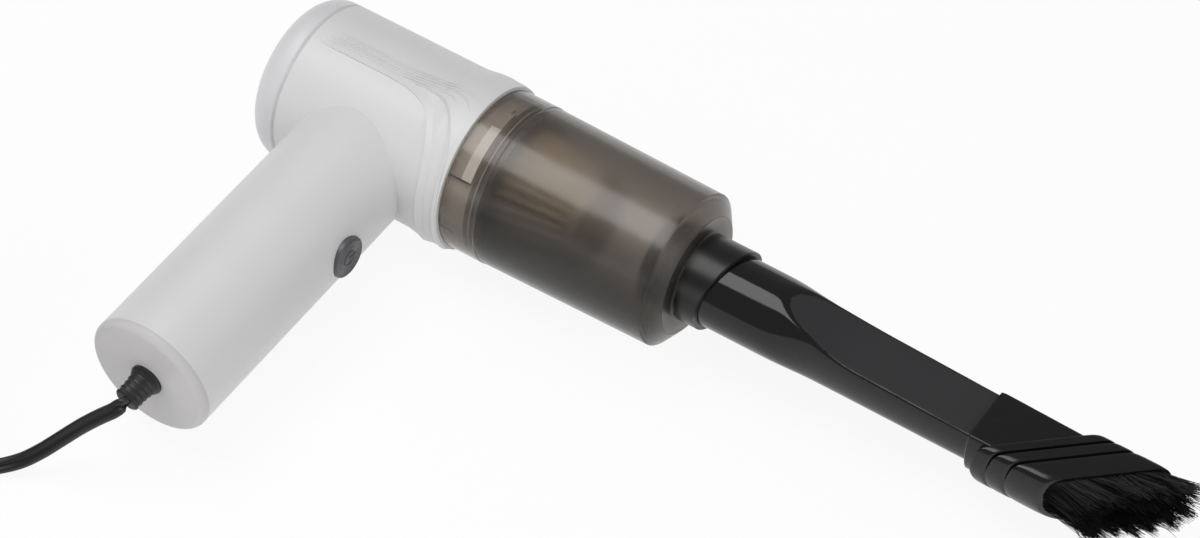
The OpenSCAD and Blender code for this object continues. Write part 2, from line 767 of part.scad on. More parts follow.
module fan_shroud()
    color(dark_grey) on_barrel() difference() {
        union() {
            translate([0, 0, diffuser_at]) cylinder(r = shroud_r, h = fan_depth - 1.4);
            translate([0, 0, shroud_at - 1.4]) cylinder(r1 = shroud_r, r2 = shroud_r - 3, h = 1.4);
        }
        translate([0, 0, diffuser_at - 1]) cylinder(r = shroud_r - fan_wall, h = fan_depth - 1.2);
        translate([0, 0, diffuser_at]) cylinder(d = shroud_inlet_d, h = fan_depth + 2);
        for (a = [0:45:315])
            rotate([0, 0, a]) translate([shroud_r - 3, -3, diffuser_at - 1]) cube([6, 6, 4]);
    }

module impeller()
    color(steel) on_barrel(impeller_back) difference() {
        union() {
            cylinder(d = impeller_d, h = 1);
            cylinder(r = 5, h = blade_h + 1);
            for (i = [0:blade_count - 1])
                rotate([0, 0, i * 360 / blade_count]) translate([0, 0, 0.5])
                    impeller_blade();
        }
        translate([0, 0, -1]) cylinder(d = shaft_d, h = 20);
    }

// A blade curved backwards: a stretch of a thin ring, cut by the impeller's rim.
module impeller_blade()
    intersection() {
        translate([10, -8, 0]) difference() {
            cylinder(r = 12, h = blade_h);
            translate([0, 0, -1]) cylinder(r = 11.1, h = blade_h + 2);
        }
        translate([0, 0, -1]) cylinder(d = impeller_d - 0.4, h = blade_h + 2);
        translate([2, 0, -1]) cube([impeller_d, impeller_d, blade_h + 2]);
    }

nut_h = 2.4;

module fan_nut()
    color(steel) on_barrel(impeller_back + blade_h + 1) difference() {
        cylinder(r = 3.6, h = nut_h, $fn = 6);
        translate([0, 0, -1]) cylinder(d = shaft_d, h = nut_h + 2);
    }

boss_r = 5;
screw_circle = 11;
terminal_circle = 11;
terminal_t = 0.8;
terminal_w = 2.8;

module diffuser()
    color(dark_grey) on_barrel(can_front) difference() {
        cylinder(r = bore_r - fit / 2, h = diffuser_t);
        translate([0, 0, -1]) cylinder(r = boss_r + 0.2, h = 4);
        for (a = [0:45:315])
            rotate([0, 0, a + 22.5]) translate([shroud_r - 1, -5, -1]) cube([2.6, 10, 4]);
        for (side = [-1, 1])
            translate([0, side * screw_circle, -1]) cylinder(d = 3.2, h = 4);
    }

/* Motor */

module motor_can()
    color(steel) on_barrel(can_front - can_len) difference() {
        union() {
            cylinder(r = can_r, h = can_len);
            cylinder(r = boss_r, h = can_len + 1.8);
        }
        translate([0, 0, -1]) cylinder(r = can_r - can_wall, h = can_len + 1 - can_wall);
        translate([0, 0, -1]) cylinder(r = bush_r, h = can_len + 4);
        for (side = [-1, 1])
            translate([0, side * screw_circle, can_len - 3]) cylinder(d = 2.6, h = 4);
    }

bush_r = 3.4;
bush_len = 5;
magnet_t = 2.2;
magnet_len = 26;
rotor_mid = can_front - can_len / 2 + 1;

module motor_magnets()
    color(dark_grey) on_barrel(rotor_mid - magnet_len / 2)
        for (a = [25, 205])
            ring_sector(can_r - can_wall - fit / 2, can_r - can_wall - magnet_t, magnet_len, a, a + 130);

module end_bell()
    color(gloss_black) on_barrel(motor_rear + 1.5) difference() {
        union() {
            cylinder(r = can_r, h = end_bell_t - 1.5);
            cylinder(r = can_r - can_wall, h = end_bell_t);
            translate([0, 0, -1.6]) cylinder(r = boss_r, h = end_bell_t + 1.6);
        }
        translate([0, 0, -3]) cylinder(r = bush_r, h = end_bell_t + 6);
        for (side = [-1, 1])
            translate([side * terminal_circle - 0.8, -1.6, -1]) cube([1.6, 3.2, end_bell_t + 2]);
    }

commutator_at = can_front - can_len + 2.2;
commutator_len = 6;
commutator_r = 4.4;

module carbon_brushes()
    color(foam_grey) on_barrel(commutator_at + 0.3)
        for (side = [-1, 1])
            translate([side * (commutator_r + 2.8) - 2.5, -1.8, 0]) cube([5, 3.6, 3.6]);

module motor_terminals()
    color(brass) on_barrel(motor_rear - 3)
        for (side = [-1, 1])
            translate([side * terminal_circle - terminal_t / 2, -terminal_w / 2, 0])
                cube([terminal_t, terminal_w, 9]);

module bush()
    ring(bush_r, shaft_d / 2 + bush_fit, bush_len);

module front_bush() color(brass) on_barrel(can_front + 1.8 - bush_len) bush();

module rear_bush() color(brass) on_barrel(motor_rear - 0.1) bush();

shaft_rear = motor_rear - 1.6;
shaft_front = impeller_back + blade_h + 1 + nut_h + 1;

module motor_shaft()
    color(steel) on_barrel(shaft_rear) cylinder(d = shaft_d, h = shaft_front - shaft_rear);

core_r = can_r - can_wall - magnet_t - 0.6;
core_len = 20;
core_hub_r = 4.5;
tooth_w = 2.8;
pole_span = 56;
slot_count = 5;

module armature()
    color(steel) on_barrel(rotor_mid - core_len / 2) linear_extrude(core_len) lamination();

// One sheet of the armature's core: a hub, and five teeth that end in curved poles.
module lamination()
    difference() {
        union() {
            circle(core_hub_r);
            for (i = [0:slot_count - 1])
                rotate([0, 0, i * 360 / slot_count]) {
                    translate([core_hub_r - 1, -tooth_w / 2]) square([core_r - core_hub_r, tooth_w]);
                    difference() {
                        intersection() {
                            circle(core_r);
                            rotate([0, 0, -pole_span / 2]) wedge(core_r * 3, pole_span);
                        }
                        circle(core_r - 1.6);
                    }
                }
        }
        circle(d = shaft_d);
    }

module armature_windings()
    color(copper) on_barrel(rotor_mid - core_len / 2 - 2)
        for (i = [0:slot_count - 1])
            rotate([0, 0, i * 360 / slot_count]) difference() {
                translate([5.2, -3.4, 0]) cube([core_r - 7.4, 6.8, core_len + 4]);
                translate([0, -tooth_w / 2 - 0.05, 2]) cube([core_r, tooth_w + 0.1, core_len]);
            }

module commutator()
    color(copper) on_barrel(commutator_at)
        ring(commutator_r, shaft_d / 2, commutator_len);

module motor_cushion()
    color(gloss_black) on_barrel(cushion_at)
        ring(cushion_rib_r, can_r, cushion_len);

module motor_screws()
    color(steel) on_barrel(can_front - 3)
        for (side = [-1, 1])
            translate([0, side * screw_circle, 0]) {
                cylinder(d = 2.6, h = 5);
                translate([0, 0, 5]) cylinder(d = 5, h = 1.2);
            }

suppressor_r = 3;

module suppressor()
    color(brass) on_barrel(motor_rear - 0.7)
        translate([0, boss_r + suppressor_r + 1, 0]) cylinder(r = suppressor_r, h = 2.2);

/* Switch */

button_face = handle_r + button_proud;
button_flange_t = 1.2;
button_flange_at = handle_bore_r - 4.6;

module power_button()
    color(dark_grey) {
        on_button(button_face - 3) round_edge_disc(button_d / 2, 3, 1);
        on_button(button_flange_at) cylinder(d = button_d, h = button_face - button_flange_at - 3);
        on_button(button_flange_at) cylinder(r = button_d / 2 + 1.2, h = button_flange_t);
    }

switch_w = 12;
switch_h = 7;
switch_at = bracket_at;
plunger_r = 2.4;
plunger_len = button_flange_at - switch_at - switch_h;

module power_switch()
    color(gloss_black) on_button(switch_at) difference() {
        translate([-switch_w / 2, -switch_w / 2, 0]) cube([switch_w, switch_w, switch_h]);
        translate([0, 0, switch_h - 2.4]) cylinder(r = plunger_r + 0.1, h = 4);
    }

module switch_plunger()
    color(housing_white) on_button(switch_at + switch_h - 0.8)
        cylinder(r = plunger_r, h = plunger_len + 0.8);

module button_spring()
    color(steel) on_button(switch_at + switch_h)
        ring(plunger_r + 1.6, plunger_r + 0.7, plunger_len - button_travel - 0.1);

bracket_half = sqrt(handle_bore_r * handle_bore_r - pow(bracket_at + bracket_t, 2)) - 0.4;
bracket_screw_gap = bracket_half * 2 - 5;

module switch_bracket()
    color(dark_grey) on_button(bracket_at - bracket_t) difference() {
        translate([-bracket_half, -bracket_len / 2 + 1, 0])
            cube([bracket_half * 2, bracket_len - 2, bracket_t]);
        for (side = [-1, 1])
            translate([side * bracket_screw_gap / 2, 0, -1]) cylinder(d = 2.2, h = bracket_t + 2);
    }

module bracket_screws()
    color(steel) on_button(bracket_at)
        for (side = [-1, 1])
            translate([side * bracket_screw_gap / 2, 0, 0]) {
                cylinder(d = 4, h = 1.2);
                translate([0, 0, -bracket_t]) cylinder(d = 2.2, h = bracket_t);
            }

/* Strain relief and clamp */

relief_flange_t = 1.8;
clamp_screw_gap = 22;
clamp_screw_r = 1.4;

module strain_relief()
    color(gloss_black) on_handle(handle_len) difference() {
        union() {
            translate([0, 0, -end_wall - relief_flange_t])
                cylinder(d = relief_d + 4, h = relief_flange_t);
            translate([0, 0, -end_wall]) cylinder(d = relief_d - 1, h = end_wall);
            cylinder(d1 = relief_d, d2 = lead_w + 2.2, h = relief_len);
            for (i = [0:3])
                translate([0, 0, i * relief_len / 4])
                    cylinder(d = relief_d + 1.2 - i * 0.9, h = relief_len / 8);
        }
        translate([-lead_w / 2 - fit, -lead_t / 2 - fit, -30])
            cube([lead_w + fit * 2, lead_t + fit * 2, 60]);
    }

clamp_at = end_wall + relief_flange_t + 2.4;

module cord_clamp()
    color(housing_white) on_handle(handle_len - clamp_at) difference() {
        translate([-clamp_screw_gap / 2 - 3, -4, 0]) cube([clamp_screw_gap + 6, 8, 2.4]);
        translate([-lead_w / 2 - fit, -lead_t / 2 - fit, -1])
            cube([lead_w + fit * 2, lead_t + fit * 2, 5]);
        for (side = [-1, 1])
            translate([side * clamp_screw_gap / 2, 0, -1]) cylinder(r = clamp_screw_r, h = 5);
    }

module clamp_screws()
    color(steel) on_handle(handle_len - clamp_at - 1.2)
        for (side = [-1, 1])
            translate([side * clamp_screw_gap / 2, 0, 0]) {
                cylinder(r = clamp_screw_r * 1.8, h = 1.2);
                translate([0, 0, 1.2])
                    cylinder(r = clamp_screw_r * 0.85, h = clamp_at - end_wall - 0.4);
            }

/* Leads: sweeps of a flat or round outline along a route */

function unit(v) = v / norm(v);
function tangent(p, i) =
    unit(p[min(i + 1, len(p) - 1)] - p[max(i - 1, 0)]);

// Catmull-Rom curve through hand-chosen points, with a fixed number of steps per stretch.
function spline_point(a, b, c, d, t) =
    0.5 * (2 * b + (c - a) * t + (2 * a - 5 * b + 4 * c - d) * t * t
        + (3 * b - a - 3 * c + d) * t * t * t);
function spline(p, steps) =
    concat([for (i = [0:len(p) - 2]) for (s = [0:steps - 1])
        spline_point(p[max(i - 1, 0)], p[i], p[i + 1], p[min(i + 2, len(p) - 1)], s / steps)],
        [p[len(p) - 1]]);

// A flat outline of eight or six corners, half_w to each side and half_t thick.
function flat_outline(half_w, half_t, sides) =
    sides == 8
        ? [[half_w, half_t * 0.4], [half_w * 0.75, half_t], [-half_w * 0.75, half_t],
            [-half_w, half_t * 0.4], [-half_w, -half_t * 0.4], [-half_w * 0.75, -half_t],
            [half_w * 0.75, -half_t], [half_w, -half_t * 0.4]]
        : [[half_w, 0], [half_w * 0.7, half_t], [-half_w * 0.7, half_t],
            [-half_w, 0], [-half_w * 0.7, -half_t], [half_w * 0.7, -half_t]];

// Sweeps the outline along a path, with the outline's wide way along each ring's own vector. The
// end rings stand square to the directions first and last, where they are given.
module sweep(path, wide, outline, first, last) {
    n = len(outline);
    count = len(path);
    rings = [for (i = [0:count - 1])
        let (t = i == 0 && first != undef ? first
                : i == count - 1 && last != undef ? last : tangent(path, i),
            w = unit(wide[i] - t * (wide[i] * t)), s = cross(t, w))
        for (q = outline) path[i] + w * q[0] + s * q[1]];
    faces = concat(
        [for (i = [0:count - 2]) for (j = [0:n - 1])
            let (a = i * n + j, b = i * n + (j + 1) % n) [a, a + n, b]],
        [for (i = [0:count - 2]) for (j = [0:n - 1])
            let (a = i * n + j, b = i * n + (j + 1) % n) [b, a + n, b + n]],
        [[for (j = [0:n - 1]) j]],
        [[for (j = [n - 1:-1:0]) (count - 1) * n + j]]);
    polyhedron(rings, faces);
}

// The routes' frame is the nozzle's, from the seam on the barrel's axis. The lead lies flat in the
// strain relief and turns on its edge on the way to the coil. A free point stands beside the strain
// relief's end and over the floor, as a share of its drop or in millimetres.
lead_exit = [-handle_back, -handle_len - relief_len, 0];
coil_floor = lead_w / 2 + 0.1 - axis_z;
free_route = [for (p = [[0, 0, 0], [-0.2, -2.2, 0], [-1.9, -4.6, 0.06], [-6, -7.3, 0.18],
        [-11.4, -10.9, 0.36], [-17.2, -15.2, 0.58], [-22.8, -20, 0.78], [-28.3, -24.9, 0.92],
        [-35, -30.6, 0.99], [-42.8, -37.7, 1], [-51.8, -46.3, 1], [-61.1, -54.6, 1]])
    lead_exit + [p[0], p[1], coil_floor * p[2]]];
plug_route = [for (p = [[-111.5, -69.6, 17.9], [-124.5, -66.8, 16.2], [-137.5, -59.4, 10.8],
        [-148.5, -48.6, 5.2], [-155, -37.4, 4.4], [-157.5, -27.6, 6.8],
        [-157.5, -20, (plug_d - lead_w) / 2 - 0.1]])
    lead_exit + [p[0], p[1], coil_floor + p[2]]];
switch_x = -handle_back + switch_at + switch_h / 2;
inner_route = [lead_exit, lead_exit + [0, 12, 0], lead_exit + [0, 24, 0],
    [-handle_back + 0.5, -button_at - 50, 0], [-handle_back + 2.5, -button_at - 36, 0],
    [switch_x - 3, -button_at - 24, 0], [switch_x - 0.2, -button_at - 15, 0],
    [switch_x, -button_at - switch_w / 2 - 0.05, 0]];
motor_lead_route = [[switch_x, -button_at + switch_w / 2 + 0.1, 3], [switch_x, -button_at + 12, 3],
    [switch_x - 1.6, -button_at + 17, 3.8], [-handle_back + 0.5, -bore_r - 8, 5.4],
    [-handle_back - 6.5, -bore_r + 1, 7.4], [motor_rear + 7.1, -can_r - 6, 9],
    [motor_rear + 0.5, -can_r - 1, 10.4], [motor_rear - 0.6, -9, terminal_circle],
    [motor_rear - 0.6, -terminal_w / 2 - 0.1, terminal_circle]];
coil_centre = [lead_exit[0] - 98.5, lead_exit[1] - 29];
coil_start_angle = 310;
coil_end_angle = 270;

lead_outline = flat_outline(lead_w / 2, lead_t / 2, 8);

// Turns the wide way of a flat lead from one direction to another along a path.
function turning(path, from, to) =
    [for (i = [0:len(path) - 1]) let (a = 90 * i / (len(path) - 1)) from * cos(a) + to * sin(a)];

module power_cord()
    color(gloss_black) on_nozzle()
        sweep(free_path, turning(free_path, [1, 0, 0], [0, 0, 1]), lead_outline,
            [0, -1, 0], tangent(coil_path, 0));

module inner_cord()
    color(gloss_black) on_nozzle() {
        path = spline(inner_route, 3);
        sweep(path, [for (p = path) [1, 0, 0]], lead_outline);
    }

wire_r = 0.8;

module motor_leads()
    color("firebrick") on_nozzle() {
        path = spline(motor_lead_route, 4);
        for (side = [0, 1])
            mirror([0, 0, side]) sweep(path, [for (p = path) [0, 0, 1]],
                [for (j = [0:5]) wire_r * [cos(j * 60), sin(j * 60)]]);
    }

// The coil: the spiral runs in and out again in four layers, and climbs a layer in the half turn
// where it reverses, a little way inside or outside the loops beside it.
coil_layers = 4;
loops_per_layer = coil_loops / coil_layers;
coil_steps = 20;
coil_turns = coil_loops - 1 + (coil_start_angle - coil_end_angle) / 360;
coil_outer_r = coil_inner_r + (loops_per_layer - 0.25) * loop_pitch;
reverse_room = 2.7;
climb = 0.25;

// How far a turn lies from the nearest reversal of the spiral.
function reversal(u) = round(u / loops_per_layer);
function from_reversal(u) = u - reversal(u) * loops_per_layer;
function at_reversal(u) =
    reversal(u) > 0 && reversal(u) < coil_layers && abs(from_reversal(u)) < 2 * climb;
function coil_z(u) =
    let (k = reversal(u), d = from_reversal(u))
    layer_pitch * (at_reversal(u) && abs(d) < climb
        ? k - 1 + (d + climb) / (2 * climb)
        : floor(u / loops_per_layer) == 0 ? 0 : min(floor(u / loops_per_layer), coil_layers - 1));
// The radius along the spiral, without the room that a reversal takes.
function spiral_r(u) =
    let (layer = min(floor(u / loops_per_layer), coil_layers - 1), v = u - layer * loops_per_layer,
        run = max(0, min(layer == 0 ? v : v - climb,
            loops_per_layer - (layer == 0 ? climb : 2 * climb))))
    layer % 2 == 0 ? coil_outer_r - (layer == 0 ? 0 : climb * loop_pitch) - run * loop_pitch
        : coil_outer_r - (loops_per_layer - climb) * loop_pitch + run * loop_pitch;
function coil_r(u) =
    let (k = reversal(u), side = k % 2 == 1 ? -1 : 1)
    spiral_r(u) + (at_reversal(u)
        ? side * reverse_room * pow(cos(180 * from_reversal(u)), 2) : 0);
function coil_point(u) =
    let (a = coil_start_angle - 360 * u)
    [coil_centre[0] + coil_r(u) * cos(a), coil_centre[1] + coil_r(u) * sin(a),
        coil_floor + coil_z(u)];

coil_rings = floor(coil_turns * coil_steps);
coil_path = concat([for (i = [0:coil_rings]) coil_point(i / coil_steps)],
    [coil_point(coil_turns)]);

free_path = spline(concat(free_route, [coil_path[0]]), 3);
plug_path = spline(concat([coil_path[coil_rings + 1]], plug_route), 3);

// Gap between two flat sections that stand on edge at one angle, side by side or above each other.
function section_gap(a, b) =
    let (side = abs(coil_r(a) - coil_r(b)) * cos(180 / coil_steps) - lead_t,
        above = abs(coil_z(a) - coil_z(b)) - lead_w)
    side > 0 && above > 0 ? norm([side, above]) : max(side, above);
least_gap = min([for (i = [0:coil_rings - coil_steps])
    for (j = [1:floor((coil_rings - i) / coil_steps)])
        section_gap(i / coil_steps, i / coil_steps + j)]);
function path_length(p) = len(p) < 2 ? 0
    : [for (i = 0, sum = 0; i < len(p); sum = sum + (i + 1 < len(p) ? norm(p[i + 1] - p[i]) : 0),
        i = i + 1) sum][len(p) - 1];
echo(least_gap_in_coil = least_gap);
echo(lead_length = path_length(coil_path) + path_length(free_path) + path_length(plug_path));

module cord_coil()
    color(gloss_black) on_nozzle()
        sweep(coil_path, [for (p = coil_path) [0, 0, 1]], flat_outline(lead_w / 2, lead_t / 2, 6));

module plug_lead()
    color(gloss_black) on_nozzle()
        sweep(plug_path, [for (p = plug_path) [0, 0, 1]], lead_outline,
            tangent(coil_path, coil_rings + 1), [0, 1, 0]);

/* 12 V plug, lying beside the coil and pointing along +Y */

plug_at = [lead_exit[0] - 157.5, lead_exit[1] - 20];
boot_len = 14;
plug_edge = 2;
shell_bore_r = 8;
tip_r = 2.4;
tip_proud = 4;
tip_travel = 2.5;
fuse_d = 6.3;
fuse_len = 20;
nose_len = 5;
contact_travel = 1;
contact_len = 12;
contact_w = 4;
contact_proud = 1.3;
contact_curve_r = 24;
plug_front = boot_len + plug_grip_len + plug_shell_len;

// The plug's frame has z along the plug, from the boot's rear end, and its side contacts along x.
module on_plug(at = 0)
    translate([seam_x + plug_at[0], axis_y + plug_at[1] + at, plug_d / 2])
        rotate([-90, 0, 0]) children();

module plug_relief()
    color(gloss_black) on_plug() difference() {
        union() {
            cylinder(d1 = lead_w + 2.4, d2 = lead_w + 6.6, h = boot_len);
            for (i = [1:4])
                translate([0, 0, i * boot_len / 5])
                    cylinder(d = lead_w + 3.4 + i * 0.8, h = boot_len / 10);
        }
        translate([-lead_t / 2 - fit, -lead_w / 2 - fit, -1])
            cube([lead_t + fit * 2, lead_w + fit * 2, boot_len - 3]);
    }

module plug_body()
    color(gloss_black) on_plug(boot_len) difference() {
        union() {
            round_edge_disc(plug_d / 2, plug_grip_len, plug_edge);
            cylinder(d = plug_shell_d, h = plug_grip_len + plug_shell_len - nose_len);
        }
        translate([0, 0, plug_grip_len - 6]) cylinder(r = shell_bore_r, h = plug_shell_len + 10);
        for (side = [-1, 1])
            translate([side * plug_shell_d / 2, 0, plug_grip_len + plug_shell_len / 2 - nose_len])
                cube([8, contact_w + 0.6, contact_len + 0.6], center = true);
    }

module plug_ring()
    color(dark_grey) on_plug(plug_front - nose_len) difference() {
        union() {
            round_edge_disc(plug_shell_d / 2, nose_len, 1.5);
            translate([0, 0, -3]) cylinder(r = shell_bore_r - 0.1, h = 3);
        }
        translate([0, 0, -4]) cylinder(r = fuse_d / 2 + 0.3, h = nose_len + 2.4);
        translate([0, 0, -4]) cylinder(r = tip_r + 0.1, h = nose_len + 6);
    }

tip_head = 1.4;
tip_back = plug_front - 1.7 - tip_head;

module plug_tip()
    color(steel) on_plug(tip_back) {
        cylinder(r = fuse_d / 2, h = tip_head);
        cylinder(r = tip_r, h = tip_head + 1.7 + tip_proud - 1);
        translate([0, 0, tip_head + 1.7 + tip_proud - 1]) cylinder(r1 = tip_r, r2 = tip_r - 1, h = 1);
    }

module plug_fuse()
    color(steel) on_plug(tip_back - fuse_len) cylinder(d = fuse_d, h = fuse_len);

spring_seat = boot_len + plug_grip_len - 6;

module plug_spring()
    color(steel) on_plug(spring_seat)
        ring(fuse_d / 2 - 0.4, fuse_d / 2 - 1.2,
            tip_back - fuse_len - spring_seat - tip_travel - 0.3);

module plug_contact(side)
    color(brass) on_plug(boot_len + plug_grip_len + plug_shell_len / 2 - nose_len)
        rotate([0, 0, side > 0 ? 0 : 180]) {
            translate([shell_bore_r - 1.3, -contact_w / 2, -contact_len / 2 - 2])
                cube([0.9, contact_w, contact_len + 4]);
            intersection() {
                translate([shell_bore_r - 0.9, -contact_w / 2, -contact_len / 2])
                    cube([plug_shell_d / 2 + contact_proud - shell_bore_r + 0.9, contact_w,
                        contact_len]);
                translate([plug_shell_d / 2 + contact_proud - contact_curve_r, contact_w, 0])
                    rotate([90, 0, 0]) cylinder(r = contact_curve_r, h = contact_w * 2, $fn = 128);
            }
        }

module plug_contact_left() plug_contact(-1);
module plug_contact_right() plug_contact(1);

main_housing();
rear_cap();
exhaust_foam();
handle_end_cap();
bayonet_ring();
dust_cup();
cup_seal();
filter_base();
filter_pleats();
filter_cap();
filter_gasket();
nozzle();
brush_sleeve();
bristles_top();
bristles_bottom();
bristles_left();
bristles_right();
fan_shroud();
impeller();
fan_nut();
diffuser();
motor_can();
motor_magnets();
end_bell();
carbon_brushes();
motor_terminals();
front_bush();
rear_bush();
motor_shaft();
armature();
armature_windings();
commutator();
motor_cushion();
motor_screws();
suppressor();
power_button();
button_spring();
power_switch();
switch_plunger();
switch_bracket();
bracket_screws();
strain_relief();
cord_clamp();
clamp_screws();
inner_cord();
motor_leads();
power_cord();
cord_coil();
plug_lead();
plug_body();
plug_ring();
plug_tip();
plug_spring();
plug_fuse();
plug_contact_left();
plug_contact_right();
plug_relief();
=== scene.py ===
import json
import math

import bmesh
import bpy
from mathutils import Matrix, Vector


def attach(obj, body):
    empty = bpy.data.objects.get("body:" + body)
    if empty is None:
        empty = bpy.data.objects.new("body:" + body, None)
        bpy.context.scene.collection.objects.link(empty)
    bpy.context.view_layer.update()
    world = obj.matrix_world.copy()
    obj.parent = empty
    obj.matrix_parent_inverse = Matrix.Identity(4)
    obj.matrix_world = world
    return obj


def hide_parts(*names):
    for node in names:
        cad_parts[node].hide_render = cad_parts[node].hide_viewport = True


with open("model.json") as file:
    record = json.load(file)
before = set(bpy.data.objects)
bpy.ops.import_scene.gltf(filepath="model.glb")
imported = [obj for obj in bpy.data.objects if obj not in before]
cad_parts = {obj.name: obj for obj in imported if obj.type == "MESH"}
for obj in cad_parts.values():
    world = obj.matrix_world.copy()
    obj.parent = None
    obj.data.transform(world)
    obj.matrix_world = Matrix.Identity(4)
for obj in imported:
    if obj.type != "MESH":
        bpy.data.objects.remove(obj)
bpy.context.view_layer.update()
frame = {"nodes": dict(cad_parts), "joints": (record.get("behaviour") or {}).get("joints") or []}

# Camera and light: a long lens looks down along the handle's side. One soft box hangs over the
# barrel and shows as a clean patch on the nozzle, a low one fills the handle's side and stays out
# of the gloss, and one beyond the brush lights what faces forwards.
MM = 0.001
SEAM = Vector(next(j for j in frame["joints"] if j["name"] == "cup_turn")["pos_m"])
CAMERA_AZIMUTH = math.radians(34.054)
CAMERA_ELEVATION = math.radians(49.944)
CAMERA_DISTANCE = 1.3
LENS_MM, SENSOR_MM = 113.92, 36


def at_seam(x, y, z):
    """A point in millimetres from the cup's seam on the barrel's axis, in the frame's metres."""
    return SEAM + Vector((x, y, z)) * MM


AIM = at_seam(46.52, -0.36, -22.15)
camera_back = Vector((math.sin(CAMERA_AZIMUTH) * math.cos(CAMERA_ELEVATION),
                      -math.cos(CAMERA_AZIMUTH) * math.cos(CAMERA_ELEVATION),
                      math.sin(CAMERA_ELEVATION)))
lens = bpy.data.cameras.new("camera")
lens.lens = LENS_MM
lens.sensor_width = SENSOR_MM
camera = bpy.data.objects.new("camera", lens)
camera.location = AIM + camera_back * CAMERA_DISTANCE
camera.rotation_mode = "QUATERNION"
camera.rotation_quaternion = (-camera_back).to_track_quat("-Z", "Y")
bpy.context.scene.collection.objects.link(camera)
bpy.context.scene.camera = camera
bpy.context.scene.view_settings.view_transform = "Standard"


def soft_box(name, place, aim, size, power, in_gloss=True):
    """An area lamp at a place, turned towards another, with its sides in metres."""
    lamp = bpy.data.lights.new(name, "AREA")
    lamp.shape = "RECTANGLE"
    lamp.size, lamp.size_y = size
    lamp.energy = power
    holder = bpy.data.objects.new(name, lamp)
    holder.location = place
    holder.rotation_mode = "QUATERNION"
    holder.rotation_quaternion = (aim - place).to_track_quat("-Z", "Y")
    holder.visible_glossy = in_gloss
    bpy.context.scene.collection.objects.link(holder)


soft_box("key", place=at_seam(-220, -80, 900), aim=at_seam(60, 0, 0), size=(0.6, 0.66), power=4.6)
soft_box("fill", place=at_seam(-250, -900, 200), aim=at_seam(0, -60, 0), size=(1.0, 0.3),
         power=2.2, in_gloss=False)
soft_box("side", place=at_seam(1100, -250, 420), aim=at_seam(0, -60, 0), size=(0.6, 0.8), power=3.2)


def feed(tree, node, inputs):
    """Sets a node's inputs to values or to other nodes' sockets."""
    for name, value in inputs.items():
        if isinstance(value, bpy.types.NodeSocket):
            tree.links.new(value, node.inputs[name])
        else:
            node.inputs[name].default_value = value


def add_node(tree, kind, inputs=None, **settings):
    """A new node with its settings and inputs."""
    node = tree.nodes.new(kind)
    for name, value in settings.items():
        setattr(node, name, value)
    feed(tree, node, inputs or {})
    return node


world = bpy.data.worlds.new("room")
bpy.context.scene.world = world
world.use_nodes = True
feed(world.node_tree, world.node_tree.nodes["Background"],
     {"Color": (0.95, 0.96, 1, 1), "Strength": 0.37})

# Floor: a plain white sheet just below the part. What the camera, gloss and clear plastic see of it
# is mostly its own white, and the rest is lit, so that the object's shadow stays on it.
FLOOR_HALF, FLOOR_DEPTH = 6, 0.0004
OWN_WHITE = 0.9
SHARP_TURN = math.radians(32)


def add_mesh(name, verts, faces, smooth=True):
    """A mesh object at the origin from points in metres, a closed one with its faces outwards."""
    mesh = bpy.data.meshes.new(name)
    shape = bmesh.new()
    corners = [shape.verts.new(v) for v in verts]
    for face in faces:
        shape.faces.new([corners[i] for i in face])
    bmesh.ops.remove_doubles(shape, verts=shape.verts, dist=1e-7)
    if all(edge.is_manifold for edge in shape.edges) and shape.calc_volume(signed=True) < 0:
        bmesh.ops.reverse_faces(shape, faces=shape.faces)
    for edge in shape.edges:
        edge.smooth = edge.calc_face_angle(0) < SHARP_TURN
    shape.to_mesh(mesh)
    shape.free()
    for polygon in mesh.polygons:
        polygon.use_smooth = smooth
    piece = bpy.data.objects.new(name, mesh)
    bpy.context.scene.collection.objects.link(piece)
    return piece


def new_material(name, **sockets):
    """A material with one Principled shader, and the sockets' plain values set on it."""
    material = bpy.data.materials.new(name)
    material.use_nodes = True
    shader = material.node_tree.nodes["Principled BSDF"]
    for socket, value in sockets.items():
        shader.inputs[socket.replace("_", " ")].default_value = value
    return material, material.node_tree, shader


def math_of(tree, operation, *values):
    """What a Math node makes of values or of other nodes' sockets."""
    inputs = dict(enumerate(values))
    return add_node(tree, "ShaderNodeMath", inputs, operation=operation).outputs[0]


floor = add_mesh("floor", [(x * FLOOR_HALF, y * FLOOR_HALF, -FLOOR_DEPTH)
                           for x, y in ((-1, -1), (1, -1), (1, 1), (-1, 1))], [(0, 1, 2, 3)])
floor_paint, tree, shader = new_material("floor_paint", Base_Color=(0.97, 0.97, 0.97, 1),
                                         Roughness=0.9)
rays = add_node(tree, "ShaderNodeLightPath").outputs
straight = math_of(tree, "MAXIMUM", rays["Is Camera Ray"], rays["Is Glossy Ray"])
any_seen = math_of(tree, "MAXIMUM", straight, rays["Is Transmission Ray"])
share = math_of(tree, "MULTIPLY", any_seen, OWN_WHITE)
white = add_node(tree, "ShaderNodeEmission", {"Color": (1, 1, 1, 1), "Strength": 1}).outputs[0]
both = add_node(tree, "ShaderNodeMixShader", {"Fac": share, 1: shader.outputs[0], 2: white})
feed(tree, tree.nodes["Material Output"], {"Surface": both.outputs[0]})
floor.data.materials.append(floor_paint)

